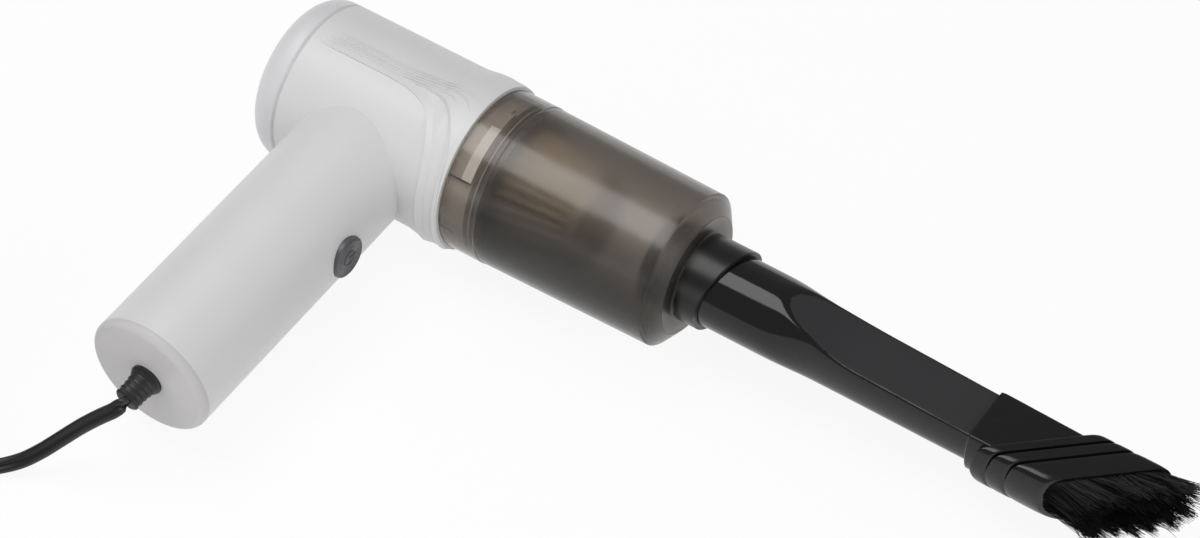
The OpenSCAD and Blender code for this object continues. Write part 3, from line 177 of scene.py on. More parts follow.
# Lead: five metres of flat twin lead with a soft vinyl sheath, moulded in one. It leaves the
# relief on edge, turns over on its way out of the view and lies in a four-layer coil on the floor.
LEAD_W, LEAD_T = 5.4, 2.7
STRAND_SIDES, STRAND_TURN = 9, 148
LEAD_EXIT = (-39.4, -148.5)
COIL_FLOOR = -28.5
FREE_ROUTE = [(0, 0, 0), (-0.2, -2.2, 0), (-1.9, -4.6, 0.06), (-6, -7.3, 0.18),
              (-11.4, -10.9, 0.36), (-17.2, -15.2, 0.58), (-22.8, -20, 0.78), (-28.3, -24.9, 0.92),
              (-35, -30.6, 0.99), (-42.8, -37.7, 1), (-51.8, -46.3, 1), (-61.1, -54.6, 1)]
PLUG_ROUTE = [(-111.5, -69.6, 17.9), (-124.5, -66.8, 16.2), (-137.5, -59.4, 10.8),
              (-148.5, -48.6, 5.2), (-155, -37.4, 4.4), (-157.5, -27.6, 6.8), (-157.5, -20, 7.7)]
ROUTE_STEPS = 8
COIL_CENTRE = (LEAD_EXIT[0] - 98.5, LEAD_EXIT[1] - 29)
COIL_START, COIL_END = 310, 270
COIL_LOOPS, COIL_LAYERS = 24, 4
COIL_INNER_R = 24.5
LOOP_PITCH, LAYER_PITCH = 3.3, 6
CLIMB = 0.25
REVERSE_ROOM = 2.7
RINGS_PER_LOOP = 40
LOOPS_PER_LAYER = COIL_LOOPS // COIL_LAYERS
COIL_OUTER_R = COIL_INNER_R + (LOOPS_PER_LAYER - CLIMB) * LOOP_PITCH


def near_reversal(turn):
    """The nearest turn where the spiral reverses, and how far this turn is from it."""
    k = round(turn / LOOPS_PER_LAYER)
    return k, turn - k * LOOPS_PER_LAYER


def coil_height(turn):
    """The lead's height over the floor: a layer's, or between two layers at a reversal."""
    k, apart = near_reversal(turn)
    if 0 < k < COIL_LAYERS and abs(apart) < CLIMB:
        return LAYER_PITCH * (k - 1 + (apart + CLIMB) / (2 * CLIMB))
    return LAYER_PITCH * min(int(turn // LOOPS_PER_LAYER), COIL_LAYERS - 1)


def coil_radius(turn):
    """The spiral's radius, inwards in even layers and outwards in odd ones."""
    layer = min(int(turn // LOOPS_PER_LAYER), COIL_LAYERS - 1)
    start = 0 if layer == 0 else CLIMB
    longest = LOOPS_PER_LAYER - (CLIMB if layer == 0 else 2 * CLIMB)
    run = max(0, min(turn - layer * LOOPS_PER_LAYER - start, longest))
    if layer % 2 == 0:
        radius = COIL_OUTER_R - start * LOOP_PITCH - run * LOOP_PITCH
    else:
        radius = COIL_OUTER_R - (LOOPS_PER_LAYER - CLIMB) * LOOP_PITCH + run * LOOP_PITCH
    k, apart = near_reversal(turn)
    if 0 < k < COIL_LAYERS and abs(apart) < 2 * CLIMB:
        side = -1 if k % 2 == 1 else 1
        radius += side * REVERSE_ROOM * math.cos(math.pi * apart) ** 2
    return radius


def coil_point(turn):
    """The lead's place in the coil after some turns, in millimetres from the seam."""
    angle = math.radians(COIL_START - 360 * turn)
    return Vector((COIL_CENTRE[0] + coil_radius(turn) * math.cos(angle),
                   COIL_CENTRE[1] + coil_radius(turn) * math.sin(angle),
                   COIL_FLOOR + coil_height(turn)))


def smooth_route(points):
    """A smooth curve through given points."""
    points = [Vector(p) for p in points]
    curve = []
    for i in range(len(points) - 1):
        a, b = points[max(i - 1, 0)], points[i]
        c, d = points[i + 1], points[min(i + 2, len(points) - 1)]
        for t in (s / ROUTE_STEPS for s in range(ROUTE_STEPS)):
            curve.append(0.5 * (2 * b + (c - a) * t + (2 * a - 5 * b + 4 * c - d) * t * t
                                + (3 * b - a - 3 * c + d) * t * t * t))
    return curve + [points[-1]]


coil_turns = COIL_LOOPS - 1 + (COIL_START - COIL_END) / 360
coil_line = [coil_point(i / RINGS_PER_LOOP) for i in range(int(coil_turns * RINGS_PER_LOOP) + 1)]
coil_line.append(coil_point(coil_turns))
free_line = smooth_route([(LEAD_EXIT[0] + x, LEAD_EXIT[1] + y, COIL_FLOOR * drop)
                          for x, y, drop in FREE_ROUTE] + [coil_line[0]])
plug_line = smooth_route([coil_line[-1]] + [(LEAD_EXIT[0] + x, LEAD_EXIT[1] + y, COIL_FLOOR + z)
                                            for x, y, z in PLUG_ROUTE])
lead_line = free_line[:-1] + coil_line + plug_line[1:]

# The sheath's wide way at shares of the free stretch: on edge, face up, and on edge again.
WIDE_WAYS = [(0, (0.4, 0, 0.92)), (0.16, (-0.71, 0.26, 0.52)), (0.5, (-0.71, 0.26, 0.52)),
             (1, (0, 0, 1))]


def wide_way(share):
    """The lead's wide way at a share of its free stretch."""
    for (a, before), (b, after) in zip(WIDE_WAYS, WIDE_WAYS[1:]):
        if share <= b:
            t = (share - a) / (b - a)
            return Vector(before).lerp(Vector(after), t * t * (3 - 2 * t))
    return Vector(WIDE_WAYS[-1][1])


def twin_outline():
    """Two round strands side by side with a groove between: points across and through the lead."""
    radius = LEAD_T / 2
    across = LEAD_W / 2 - radius
    turns = [math.radians(-STRAND_TURN + 2 * STRAND_TURN * i / (STRAND_SIDES - 1))
             for i in range(STRAND_SIDES)]
    return [(side * (across + radius * math.cos(angle)), side * radius * math.sin(angle))
            for side in (1, -1) for angle in turns]


def sweep(points, wides, outline):
    """Rings of the outline along the points, with its wide way along each ring's own vector."""
    verts, count = [], len(outline)
    for i, point in enumerate(points):
        ahead = points[min(i + 1, len(points) - 1)] - points[max(i - 1, 0)]
        ahead.normalize()
        wide = (wides[i] - ahead * wides[i].dot(ahead)).normalized()
        thick = ahead.cross(wide)
        verts += [point + wide * u + thick * v for u, v in outline]
    faces = [(i * count + j, (i + 1) * count + j,
              (i + 1) * count + (j + 1) % count, i * count + (j + 1) % count)
             for i in range(len(points) - 1) for j in range(count)]
    faces += [tuple(range(count)), tuple(reversed(range(len(verts) - count, len(verts))))]
    return verts, faces


def add_at_seam(name, skin, smooth=True):
    """A mesh object from a skin's points, in millimetres from the seam, and its faces."""
    verts, faces = skin
    return add_mesh(name, [at_seam(*v) for v in verts], faces, smooth)


lead_wides = [wide_way(min(i / (len(free_line) - 1), 1)) for i in range(len(lead_line))]
lead = add_at_seam("twin_lead", sweep(lead_line, lead_wides, twin_outline()))


def new_skin(name, inputs):
    """A shader group for a skin with named inputs, and the sockets where they come in. It gives
    out a colour, a roughness and a normal."""
    group = bpy.data.node_groups.new(name, "ShaderNodeTree")
    for socket, value in inputs.items():
        kind = "NodeSocketColor" if socket.endswith("Color") else "NodeSocketFloat"
        made = group.interface.new_socket(socket, in_out="INPUT", socket_type=kind)
        made.default_value = value
    for socket, kind in (("Color", "Color"), ("Roughness", "Float"), ("Normal", "Vector")):
        group.interface.new_socket(socket, in_out="OUTPUT", socket_type="NodeSocket" + kind)
    return group, group.nodes.new("NodeGroupInput").outputs


def mixed(tree, share, first, second):
    """A colour between two others."""
    inputs = {0: share, 6: first, 7: second}
    return add_node(tree, "ShaderNodeMix", inputs, data_type="RGBA").outputs[2]


def noise(tree, place, scale, detail=2, roughness=0.5):
    """A noise texture's grey value at a place."""
    inputs = {"Vector": place, "Scale": scale, "Detail": detail, "Roughness": roughness}
    return add_node(tree, "ShaderNodeTexNoise", inputs).outputs["Fac"]


def bump(tree, height, distance, strength):
    """The normal of a skin with a height in it."""
    inputs = {"Height": height, "Distance": distance, "Strength": strength}
    return add_node(tree, "ShaderNodeBump", inputs).outputs[0]


# Moulded skin: the cloudy tone, fine grain and uneven gloss that a moulding takes from its tool.
FINE_BUMP = 0.0001
moulded, given = new_skin("moulded_skin", {
    "Base Color": (0.5, 0.5, 0.5, 1), "Tone Spread": 0.05, "Grain Scale": 2500,
    "Grain Depth": 0.1, "Gloss Middle": 0.4, "Gloss Spread": 0.1})
place = add_node(moulded, "ShaderNodeTexCoord").outputs["Object"]
tone = add_node(moulded, "ShaderNodeMapRange", {
    "Value": noise(moulded, place, 38, 4), "From Min": 0.3, "From Max": 0.7,
    "To Min": math_of(moulded, "SUBTRACT", 1, given["Tone Spread"])})
toned = add_node(moulded, "ShaderNodeVectorMath", {0: given["Base Color"],
                                                   "Scale": tone.outputs[0]}, operation="SCALE")
spread = math_of(moulded, "ADD", noise(moulded, place, 140, 5, 0.6), -0.5)
uneven = math_of(moulded, "MULTIPLY_ADD", spread, given["Gloss Spread"], given["Gloss Middle"])
grain = noise(moulded, place, given["Grain Scale"])
add_node(moulded, "NodeGroupOutput", {
    "Color": toned.outputs[0], "Roughness": uneven,
    "Normal": bump(moulded, grain, FINE_BUMP, given["Grain Depth"])})


def put_skin(tree, shader, group, values):
    """A skin's group with its own values, linked to a shader's colour, roughness and normal."""
    skin = add_node(tree, "ShaderNodeGroup", values, node_tree=group)
    skin.name = "skin"
    feed(tree, shader, {"Base Color": skin.outputs["Color"], "Normal": skin.outputs["Normal"],
                        "Roughness": skin.outputs["Roughness"]})
    return skin


def moulded_material(name, color, tone=0.05, grain=(2500, 0.1), gloss=(0.4, 0.1)):
    """A material whose colour, roughness and bump come from the moulded skin."""
    material, tree, shader = new_material(name)
    put_skin(tree, shader, moulded, {
        "Base Color": (*color, 1), "Tone Spread": tone, "Grain Scale": grain[0],
        "Grain Depth": grain[1], "Gloss Middle": gloss[0], "Gloss Spread": gloss[1]})
    return material


def dress(material, *nodes):
    """Gives CAD nodes one material."""
    for name in nodes:
        slots = frame["nodes"][name].data.materials
        slots.clear()
        slots.append(material)


sheath = moulded_material("lead_sheath", (0.011, 0.011, 0.012), tone=0.3, grain=(900, 0.35),
                          gloss=(0.42, 0.2))
lead.data.materials.append(sheath)
dress(sheath, "inner_cord")
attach(lead, "housing")
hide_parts("power_cord", "cord_coil", "plug_lead")

# Lead's end fittings: a bell of soft black vinyl grips the lead in the handle's end. The 12 V plug
# has a hard black body and ring, nickel-plated contacts, and a soft boot of its own.
BELL_FACE = 137.5
BELL_RINGS = [(133.4, 7.4), (134.9, 7.4), (135.1, 4.9), (137.4, 4.9), (137.5, 5.9), (138.3, 5.9),
              (138.9, 5.2), (140.2, 4.6), (142.1, 4.15), (144.2, 3.85), (146.6, 3.7), (148.1, 3.6),
              (148.6, 3.2), (148.6, 2.2)]
BELL_END = BELL_RINGS[-1][0]
BELL_SIDES, BELL_STEP = 48, 0.35
LOBE_SHARE, LOBE_TURN = 0.2, 0.5
RIDGE_FROM, RIDGE_PITCH, RIDGE_HEIGHT = 138.9, 2.1, 0.28


def bell_section(y, radius):
    """A ring of the bell, round at the face and two-lobed with side ridges towards its tip."""
    share = max(0, (y - BELL_FACE) / (BELL_END - BELL_FACE))
    ring = []
    for k in range(BELL_SIDES):
        angle = 2 * math.pi * k / BELL_SIDES
        reach = radius * (1 + LOBE_SHARE * share * math.cos(2 * angle))
        ring.append((LEAD_EXIT[0] + reach * math.cos(angle + LOBE_TURN), -y,
                     -reach * math.sin(angle + LOBE_TURN)))
    return ring


bell_line = []
for (y0, r0), (y1, r1) in zip(BELL_RINGS, BELL_RINGS[1:]):
    steps = max(1, round((y1 - y0) / BELL_STEP))
    for s in range(steps):
        y = y0 + (y1 - y0) * s / steps
        wave = math.sin(2 * math.pi * (y - RIDGE_FROM) / RIDGE_PITCH) if y > RIDGE_FROM else 0
        bell_line.append((y, r0 + (r1 - r0) * s / steps + RIDGE_HEIGHT * max(0, wave)))
bell_line.append(BELL_RINGS[-1])


def skin_rings(rings, closed=False):
    """Points and faces of a skin through rings of equal counts, capped or closed on itself."""
    count = len(rings[0])
    verts = [point for ring in rings for point in ring]
    last = len(rings) if closed else len(rings) - 1
    faces = [(i * count + k, i * count + (k + 1) % count,
              (i + 1) % len(rings) * count + (k + 1) % count, (i + 1) % len(rings) * count + k)
             for i in range(last) for k in range(count)]
    if not closed:
        faces += [tuple(range(count)), tuple(reversed(range(len(verts) - count, len(verts))))]
    return verts, faces


bell = add_at_seam("relief_bell", skin_rings([bell_section(y, r) for y, r in bell_line]))
soft_vinyl = moulded_material("soft_vinyl", (0.012, 0.012, 0.013), tone=0.25, grain=(1400, 0.25),
                              gloss=(0.45, 0.2))
bell.data.materials.append(soft_vinyl)
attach(bell, "housing")
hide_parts("strain_relief")
dress(soft_vinyl, "plug_relief", "motor_cushion", "filter_gasket")

hard_black = moulded_material("hard_black", (0.014, 0.014, 0.016), tone=0.15, grain=(1800, 0.12),
                              gloss=(0.3, 0.15))
dress(hard_black, "plug_body", "plug_ring", "end_bell", "power_switch")

# Turned or drawn metal: fine rings across the barrel's way, with a little tarnish.
turned, given = new_skin("turned_metal", {
    "Base Color": (0.6, 0.6, 0.6, 1), "Tarnish Color": (0.4, 0.4, 0.4, 1), "Ring Scale": 1800,
    "Gloss Middle": 0.3})
place = add_node(turned, "ShaderNodeTexCoord").outputs["Object"]
squeezed = add_node(turned, "ShaderNodeMapping", {"Vector": place, "Scale": (1, 0.04, 0.04)})
rings = noise(turned, squeezed.outputs[0], given["Ring Scale"])
stain = noise(turned, place, 160, 4)
stained = add_node(turned, "ShaderNodeMapRange", {"Value": stain, "From Min": 0.45,
                                                  "From Max": 0.75})
add_node(turned, "NodeGroupOutput", {
    "Color": mixed(turned, stained.outputs[0], given["Base Color"], given["Tarnish Color"]),
    "Roughness": math_of(turned, "MULTIPLY_ADD", stain, 0.3, given["Gloss Middle"]),
    "Normal": bump(turned, rings, FINE_BUMP, 0.25)})


def metal_material(name, color, tarnish, rings=1800, gloss=0.15):
    """A metal whose rings and tarnish come from the turned group."""
    material, tree, shader = new_material(name, Metallic=1)
    put_skin(tree, shader, turned, {"Base Color": (*color, 1), "Tarnish Color": (*tarnish, 1),
                                    "Ring Scale": rings, "Gloss Middle": gloss})
    return material


nickel = metal_material("nickel_plate", (0.75, 0.72, 0.66), (0.58, 0.52, 0.44))
dress(nickel, "plug_tip", "plug_fuse", "plug_contact_left", "plug_contact_right")

# Housing: barrel and handle moulded in one of white ABS, with a fine spark-eroded skin. Low ribs
# like contour lines run along the barrel and round the handle's root.
white_abs = moulded_material("white_abs", (0.68, 0.675, 0.67), tone=0.025, grain=(2600, 0.1),
                             gloss=(0.42, 0.1))
dress(white_abs, "main_housing")

RIB_LINE = [(-66, 101.5), (-54.5, 101.5), (-42.8, 101.5), (-32.7, 101.8), (-25.6, 103.6),
            (-18.5, 109.2), (-13.7, 119.8), (-9.8, 136), (-8.5, 156), (-8.3, 180)]
RIB_STEP, RIB_SPREAD = 1.85, 3.2
RIB_FRONT = -1.3
RIB_TURN_X, RIB_LEAD = -30, 1.05
RIB_HEIGHTS = [0.6, 0.34, 0.5, 0.34, 0.34, 0.32, 0.32, 0.3]
FIRST_RIB_WIDTH, RIB_WIDTH, RIB_ROOT = 3, 0.95, -0.4
WHOLE_RIBS, FAINT_RIB_END = (0, 2), 101
RIB_TAPER, RIB_SUNK = 7, 0.05
BARREL_SIDE = [(-70, 30.3), (-16, 30.3), (-10, 31.2), (-7, 31.3), (-2, 31.1), (0, 30.7)]


def between(x, x0, v0, x1, v1):
    """The value at x on the straight line through two values."""
    return v0 + (v1 - v0) * (x - x0) / (x1 - x0)


def barrel_radius(x):
    """The barrel's outside radius at a distance from the seam."""
    for (x0, r0), (x1, r1) in zip(BARREL_SIDE, BARREL_SIDE[1:]):
        if x <= x1:
            return between(x, x0, r0, x1, r1)
    return BARREL_SIDE[-1][1]


def turned_point(x, radius, angle):
    """The point at a radius and an angle in degrees round the barrel's axis."""
    return x, radius * math.cos(math.radians(angle)), radius * math.sin(math.radians(angle))


def rib_runs(number):
    """The stretches of one rib, as (x, angle) points: its way round the handle's root, without what
    would pass the barrel's front. The faint ribs stop where they turn down."""
    close, wide = number * RIB_STEP, number * RIB_SPREAD
    half = [(x, angle - close) if x < RIB_TURN_X else (x + RIB_LEAD * wide, angle - wide)
            for x, angle in RIB_LINE]
    mirrored = [(x, 360 - angle) for x, angle in reversed(half)]
    whole = [(p.x, p.y) for p in smooth_route([(x, a, 0) for x, a in half + mirrored[1:]])]
    lowest = 360 if number in WHOLE_RIBS else FAINT_RIB_END
    kept = [x < RIB_FRONT and min(angle, 360 - angle) < lowest for x, angle in whole]
    if all(kept):
        return [whole]
    first = kept.index(False)
    last = kept[::-1].index(False)
    return [whole[:first], whole[len(whole) - last:]]


rib_verts, rib_faces = [], []
for number, height in enumerate(RIB_HEIGHTS):
    width = FIRST_RIB_WIDTH if number == 0 else RIB_WIDTH
    wedge = [(RIB_ROOT, 0), (height * 0.9, 0.02), (height, -0.12), (0.05, -width),
             (RIB_ROOT, -width)]
    for run in rib_runs(number):
        points, outwards = [], []
        for i, (x, angle) in enumerate(run):
            out = Vector(turned_point(0, 1, angle))
            sunk = max(0, 1 - min(i, len(run) - 1 - i) / RIB_TAPER) * (height + RIB_SUNK)
            points.append(Vector((x, 0, 0)) + out * (barrel_radius(x) - sunk))
            outwards.append(out)
        verts, faces = sweep(points, outwards, wedge)
        rib_faces += [[i + len(rib_verts) for i in face] for face in faces]
        rib_verts += verts
ribs = add_at_seam("contour_ribs", (rib_verts, rib_faces))
ribs.data.materials.append(white_abs)
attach(ribs, "housing")

# End caps: the barrel's vented dome and the handle's flat disc, of the same white ABS from another
# tool. The dome is a shade cooler and greyer, and the disc is painted darker and greyer still, as
# painted shade on its face turned away from the light. Both snap in, and the bayonet ring closes
# the barrel's front.
cool_abs = moulded_material("cool_abs", (0.665, 0.66, 0.67), tone=0.03, grain=(2600, 0.12),
                            gloss=(0.36, 0.1))
dress(cool_abs, "rear_cap")
# Painted shade: the disc's colour is darker than the housing's white, for its face turned away from
# the light.
shaded_disc_abs = moulded_material("shaded_disc_abs", (0.56, 0.545, 0.54), tone=0.04, grain=(2200, 0.16),
                            gloss=(0.5, 0.1))
dress(shaded_disc_abs, "handle_end_cap")
ring_abs = moulded_material("ring_abs", (0.8, 0.79, 0.75), tone=0.04, gloss=(0.4, 0.1))
dress(ring_abs, "bayonet_ring")

# Painted shadow: a thin black strip laid along the end of the bayonet ring's land, seen through the
# cup's collar, where the gap at the land's end shows as a dark line.
MARK_ANGLE, MARK_HALF = 141, 0.7
MARK_FROM, MARK_TO = 0.4, 8.6
MARK_R, MARK_ROOT = 27.64, 26.2
mark_corners = [(MARK_ANGLE - MARK_HALF, MARK_R), (MARK_ANGLE + MARK_HALF, MARK_R),
                (MARK_ANGLE + MARK_HALF, MARK_ROOT), (MARK_ANGLE - MARK_HALF, MARK_ROOT)]
mark_rings = [[turned_point(x, radius, angle) for angle, radius in mark_corners]
              for x in (MARK_FROM, MARK_TO)]
gap_shadow_strip = add_at_seam("painted_gap_shadow", skin_rings(mark_rings), smooth=False)
gap_shadow_strip.data.materials.append(hard_black)
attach(gap_shadow_strip, "housing")

# Exhaust foam: a disc of open-cell grey foam that holds back carbon dust from the motor. It is cut
# from a sheet and tucked behind the rear cap's slots.
foam, tree, shader = new_material("open_foam", Roughness=0.95)
place = add_node(tree, "ShaderNodeTexCoord").outputs["Object"]
cells = add_node(tree, "ShaderNodeTexVoronoi", {"Vector": place, "Scale": 900})
walls = add_node(tree, "ShaderNodeValToRGB", {"Fac": cells.outputs["Distance"]})
walls.color_ramp.elements[0].color = (0.012, 0.012, 0.012, 1)
walls.color_ramp.elements[1].color = (0.14, 0.14, 0.145, 1)
feed(tree, shader, {"Base Color": walls.outputs["Color"],
                    "Normal": bump(tree, cells.outputs["Distance"], 0.0006, 0.8)})
dress(foam, "exhaust_foam")

# Filter: a cone of cream pleated paper between two dark plastic ends, seen through the cup. Its
# paper is darker towards its folds, which its shader finds by their distance from the axis, in
# metres.
PLEAT_TAPER, FOLD_R, CREST_R = 0.245, 0.0205, 0.0245
paper, tree, shader = new_material("pleated_paper", Roughness=0.85)
place = add_node(tree, "ShaderNodeTexCoord").outputs["Object"]
fibre = noise(tree, place, 1400, 6, 0.7)
centred = add_node(tree, "ShaderNodeMapping", {"Vector": place, "Location": tuple(-SEAM)})
axes = add_node(tree, "ShaderNodeSeparateXYZ", {"Vector": centred.outputs[0]}).outputs
square = math_of(tree, "MULTIPLY_ADD", axes["Z"], axes["Z"],
                 math_of(tree, "MULTIPLY", axes["Y"], axes["Y"]))
straightened = math_of(tree, "MULTIPLY_ADD", axes["X"], PLEAT_TAPER,
                       math_of(tree, "SQRT", square))
fold = add_node(tree, "ShaderNodeMapRange", {"Value": straightened, "From Min": FOLD_R,
                                             "From Max": CREST_R})
# Dark brown in the folds, cream on the crests.
fold_darkened = mixed(tree, fold.outputs[0], (0.2, 0.15, 0.09, 1), (0.8, 0.72, 0.54, 1))
feed(tree, shader, {"Base Color": mixed(tree, fibre, fold_darkened, (0.62, 0.54, 0.4, 1)),
                    "Normal": bump(tree, fibre, 0.0002, 0.4)})
dress(paper, "filter_pleats")
inner_abs = moulded_material("inner_abs", (0.13, 0.125, 0.12), tone=0.1, grain=(1600, 0.2),
                             gloss=(0.45, 0.15))
dress(inner_abs, "filter_base", "cord_clamp", "switch_plunger", "fan_shroud", "diffuser",
      "switch_bracket")
cap_abs = moulded_material("filter_cap_abs", (0.5, 0.44, 0.33), tone=0.08, gloss=(0.5, 0.1))
dress(cap_abs, "filter_cap")

# Dust cup: one moulding of smoked see-through plastic. Its collar turns on the bayonet ring, its
# inside is frosted in front of the step, and its slanted neck holds the nozzle.
COLLAR_R, BODY_R, SHOULDER_R = 29.6, 29.35, 28.2
STEP_X, SHOULDER_X, FRONT_X, NECK_END = 14.7, 81, 85.6, 97.6
INLET_X, SOCKET_X, INSIDE_X = 71.6, 80, 83.6
FRONT_R, NECK_R, SOCKET_R, INLET_R, INLET_BORE = 21.8, 15.95, 14.18, 15.48, 12.5
COLLAR_BORE, SLOT_R = 27.68, 28.7
BORE_ROOM, BORE_END = 0.05, 16
BORE_STEP, BODY_STEP = 0.4, 6
NECK_SLANT, NECK_SLANT_ANGLE, NECK_SLANT_LEN = 0.24, 27, 2.5
LUG_ANGLES = [78.5, 198.5, 318.5]
SLOT_MOUTH, SLOT_MOUTH_END = (-25, -15), 9
SLOT_RUN, SLOT_RUN_X = (-20, 3.6), (5, 7.8)
CUP_SIDES = 360
CUP_OUTLINE = [(0.3, COLLAR_BORE, 0.15), (0.3, COLLAR_R, 0.2), (STEP_X - 0.35, COLLAR_R, 0.1),
               (STEP_X, BODY_R, 0.1), (SHOULDER_X, SHOULDER_R, 0.15), (FRONT_X, FRONT_R, 0.25),
               (FRONT_X, NECK_R, 0.8), (NECK_END, NECK_R, 0.3), (NECK_END, SOCKET_R, 0.2),
               (SOCKET_X, SOCKET_R, 0), (SOCKET_X, INLET_BORE, 0), (INLET_X, INLET_BORE, 0.2),
               (INLET_X, INLET_R, 0.3), (INSIDE_X, INLET_R, 1), (INSIDE_X, FRONT_R - 1.2, 0.8),
               (SOCKET_X, SHOULDER_R - 2, 1)]
CORNER_STEPS, CORNER_GUARD, CORNER_MOST = 4, 0.1, 0.45


def rounded_outline(corners):
    """A closed outline whose corners, as (x, y, radius), are rounded. A guard point before and
    after each round keeps the straight stretches' shading straight."""
    outline = []
    for i, (x, y, radius) in enumerate(corners):
        corner = Vector((x, y))
        if radius == 0:
            outline.append(corner)
            continue
        before = Vector(corners[i - 1][:2]) - corner
        after = Vector(corners[(i + 1) % len(corners)][:2]) - corner
        a = corner + before.normalized() * min(radius, before.length * CORNER_MOST)
        b = corner + after.normalized() * min(radius, after.length * CORNER_MOST)
        outline.append(a + (a - corner).normalized() * CORNER_GUARD * radius)
        outline += [a * (1 - t) ** 2 + corner * 2 * t * (1 - t) + b * t * t
                    for t in (s / CORNER_STEPS for s in range(CORNER_STEPS + 1))]
        outline.append(b + (b - corner).normalized() * CORNER_GUARD * radius)
    return outline


def on_bore(x, radius):
    """Whether a place is on the collar's bore, where the slots for the lugs are cut."""
    return x < BORE_END and radius < COLLAR_BORE + BORE_ROOM


def fine_outline(outline):
    """The outline with its long straight stretches cut shorter, most of all on the bore."""
    fine = []
    for i, point in enumerate(outline):
        ahead = outline[(i + 1) % len(outline)] - point
        pieces = max(1, math.ceil(ahead.length / (BORE_STEP if on_bore(*point) else BODY_STEP)))
        fine += [point + ahead * s / pieces for s in range(pieces)]
    return fine


def in_slot(x, angle):
    """Whether a place on the collar's bore lies in one of the three slots for the lugs."""
    for lug in LUG_ANGLES:
        apart = (angle - lug + 180) % 360 - 180
        in_mouth = x < SLOT_MOUTH_END and SLOT_MOUTH[0] <= apart <= SLOT_MOUTH[1]
        in_run = SLOT_RUN_X[0] <= x <= SLOT_RUN_X[1] and SLOT_RUN[0] <= apart <= SLOT_RUN[1]
        if in_mouth or in_run:
            return True
    return False


cup_rings = []
for x, radius in fine_outline(rounded_outline(CUP_OUTLINE)):
    into_neck = max(0, x - NECK_END + NECK_SLANT_LEN) / NECK_SLANT_LEN
    ring = []
    for k in range(CUP_SIDES):
        angle = 360 * k / CUP_SIDES
        lean = radius * math.cos(math.radians(angle - NECK_SLANT_ANGLE))
        cut = on_bore(x, radius) and in_slot(x, angle)
        ring.append(turned_point(x + NECK_SLANT * lean * into_neck, SLOT_R if cut else radius,
                                 angle))
    cup_rings.append(ring)
cup = add_at_seam("smoked_cup", skin_rings(cup_rings, closed=True))


def mark_points(piece, name, rule):
    """Gives each point of a piece a number from 0 to 1 by its place in millimetres."""
    marks = piece.data.attributes.new(name, "FLOAT", "POINT")
    for i, point in enumerate(piece.data.vertices):
        marks.data[i].value = rule((point.co - SEAM) / MM)


FROST_INSIDE, FROST_OUTSIDE = 1, 0.35
MID_WALL, BODY_TAPER = 1, 0.02


def frosting(p):
    """How dull the cup's skin is at a point: clear on the collar, and frosted inside the body."""
    if p.x < STEP_X:
        return 0
    inside = math.hypot(p.y, p.z) < BODY_R - MID_WALL - (p.x - STEP_X) * BODY_TAPER
    return FROST_INSIDE if inside else FROST_OUTSIDE


mark_points(cup, "frost", frosting)
# Painted shade on the cup: where its colour is darkened, along the front edge and the step, on the
# neck, and on the front side.
EDGE_BACK, EDGE_BELOW, EDGE_ABOVE = 0.2, 0.15, 0.1
STEP_HALF, STEP_BELOW = 0.08, 0.1
NECK_SHADE_R = 18
SIDE_SHADE, SIDE_SHADE_FROM, SIDE_SHADE_RUN = 0.85, 13, 12


def painted_shade_at(p):
    """How much the plastic is darkened at a point by painted shade: most on the neck, as painted
    dark lines along the outside's step and front edge, and some on the body's front side."""
    r = math.hypot(p.y, p.z)
    on_edge = p.x > FRONT_X - EDGE_BACK and FRONT_R - EDGE_BELOW < r < FRONT_R + EDGE_ABOVE
    on_step = abs(p.x - STEP_X) < STEP_HALF and r > BODY_R - STEP_BELOW
    if r < NECK_SHADE_R or on_edge or on_step:
        return 1
    if p.x < STEP_X:
        return 0
    return SIDE_SHADE * min(1, max(0, (-p.y - SIDE_SHADE_FROM) / SIDE_SHADE_RUN))


mark_points(cup, "painted_shade", painted_shade_at)
smoke, tree, shader = new_material("smoked_plastic", Transmission_Weight=0.92, IOR=1.4)
place = add_node(tree, "ShaderNodeTexCoord").outputs["Object"]
flow = noise(tree, place, 30, 3)
tint = mixed(tree, flow, (0.4, 0.365, 0.33, 1), (0.46, 0.42, 0.38, 1))
steep = add_node(tree, "ShaderNodeLayerWeight", {"Blend": 0.5})
thick = mixed(tree, steep.outputs["Facing"], tint, (0.14, 0.126, 0.112, 1))
painted_shade = add_node(tree, "ShaderNodeAttribute", attribute_name="painted_shade")
frost = add_node(tree, "ShaderNodeAttribute", attribute_name="frost")
haze = add_node(tree, "ShaderNodeMapRange", {"Value": frost.outputs["Fac"], "To Min": 0.12,
                                             "To Max": 0.27})
# Painted shade: the colour goes towards near black on the neck, along the step and front edge, and
# on the front side.
feed(tree, shader, {
    "Base Color": mixed(tree, painted_shade.outputs["Fac"], thick, (0.05, 0.047, 0.044, 1)),
    "Roughness": math_of(tree, "MULTIPLY_ADD", flow, 0.06, haze.outputs[0])})
lit = add_node(tree, "ShaderNodeLightPath")
lets_light = add_node(tree, "ShaderNodeBsdfTransparent", {"Color": (0.8, 0.76, 0.73, 1)})
either = add_node(tree, "ShaderNodeMixShader", {"Fac": lit.outputs["Is Shadow Ray"],
                                                1: shader.outputs[0], 2: lets_light.outputs[0]})
feed(tree, tree.nodes["Material Output"], {"Surface": either.outputs[0]})
cup.data.materials.append(smoke)
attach(cup, "cup")
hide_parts("dust_cup")
silicone = moulded_material("seal_silicone", (0.16, 0.14, 0.12), tone=0.05, gloss=(0.4, 0.1))
dress(silicone, "cup_seal")

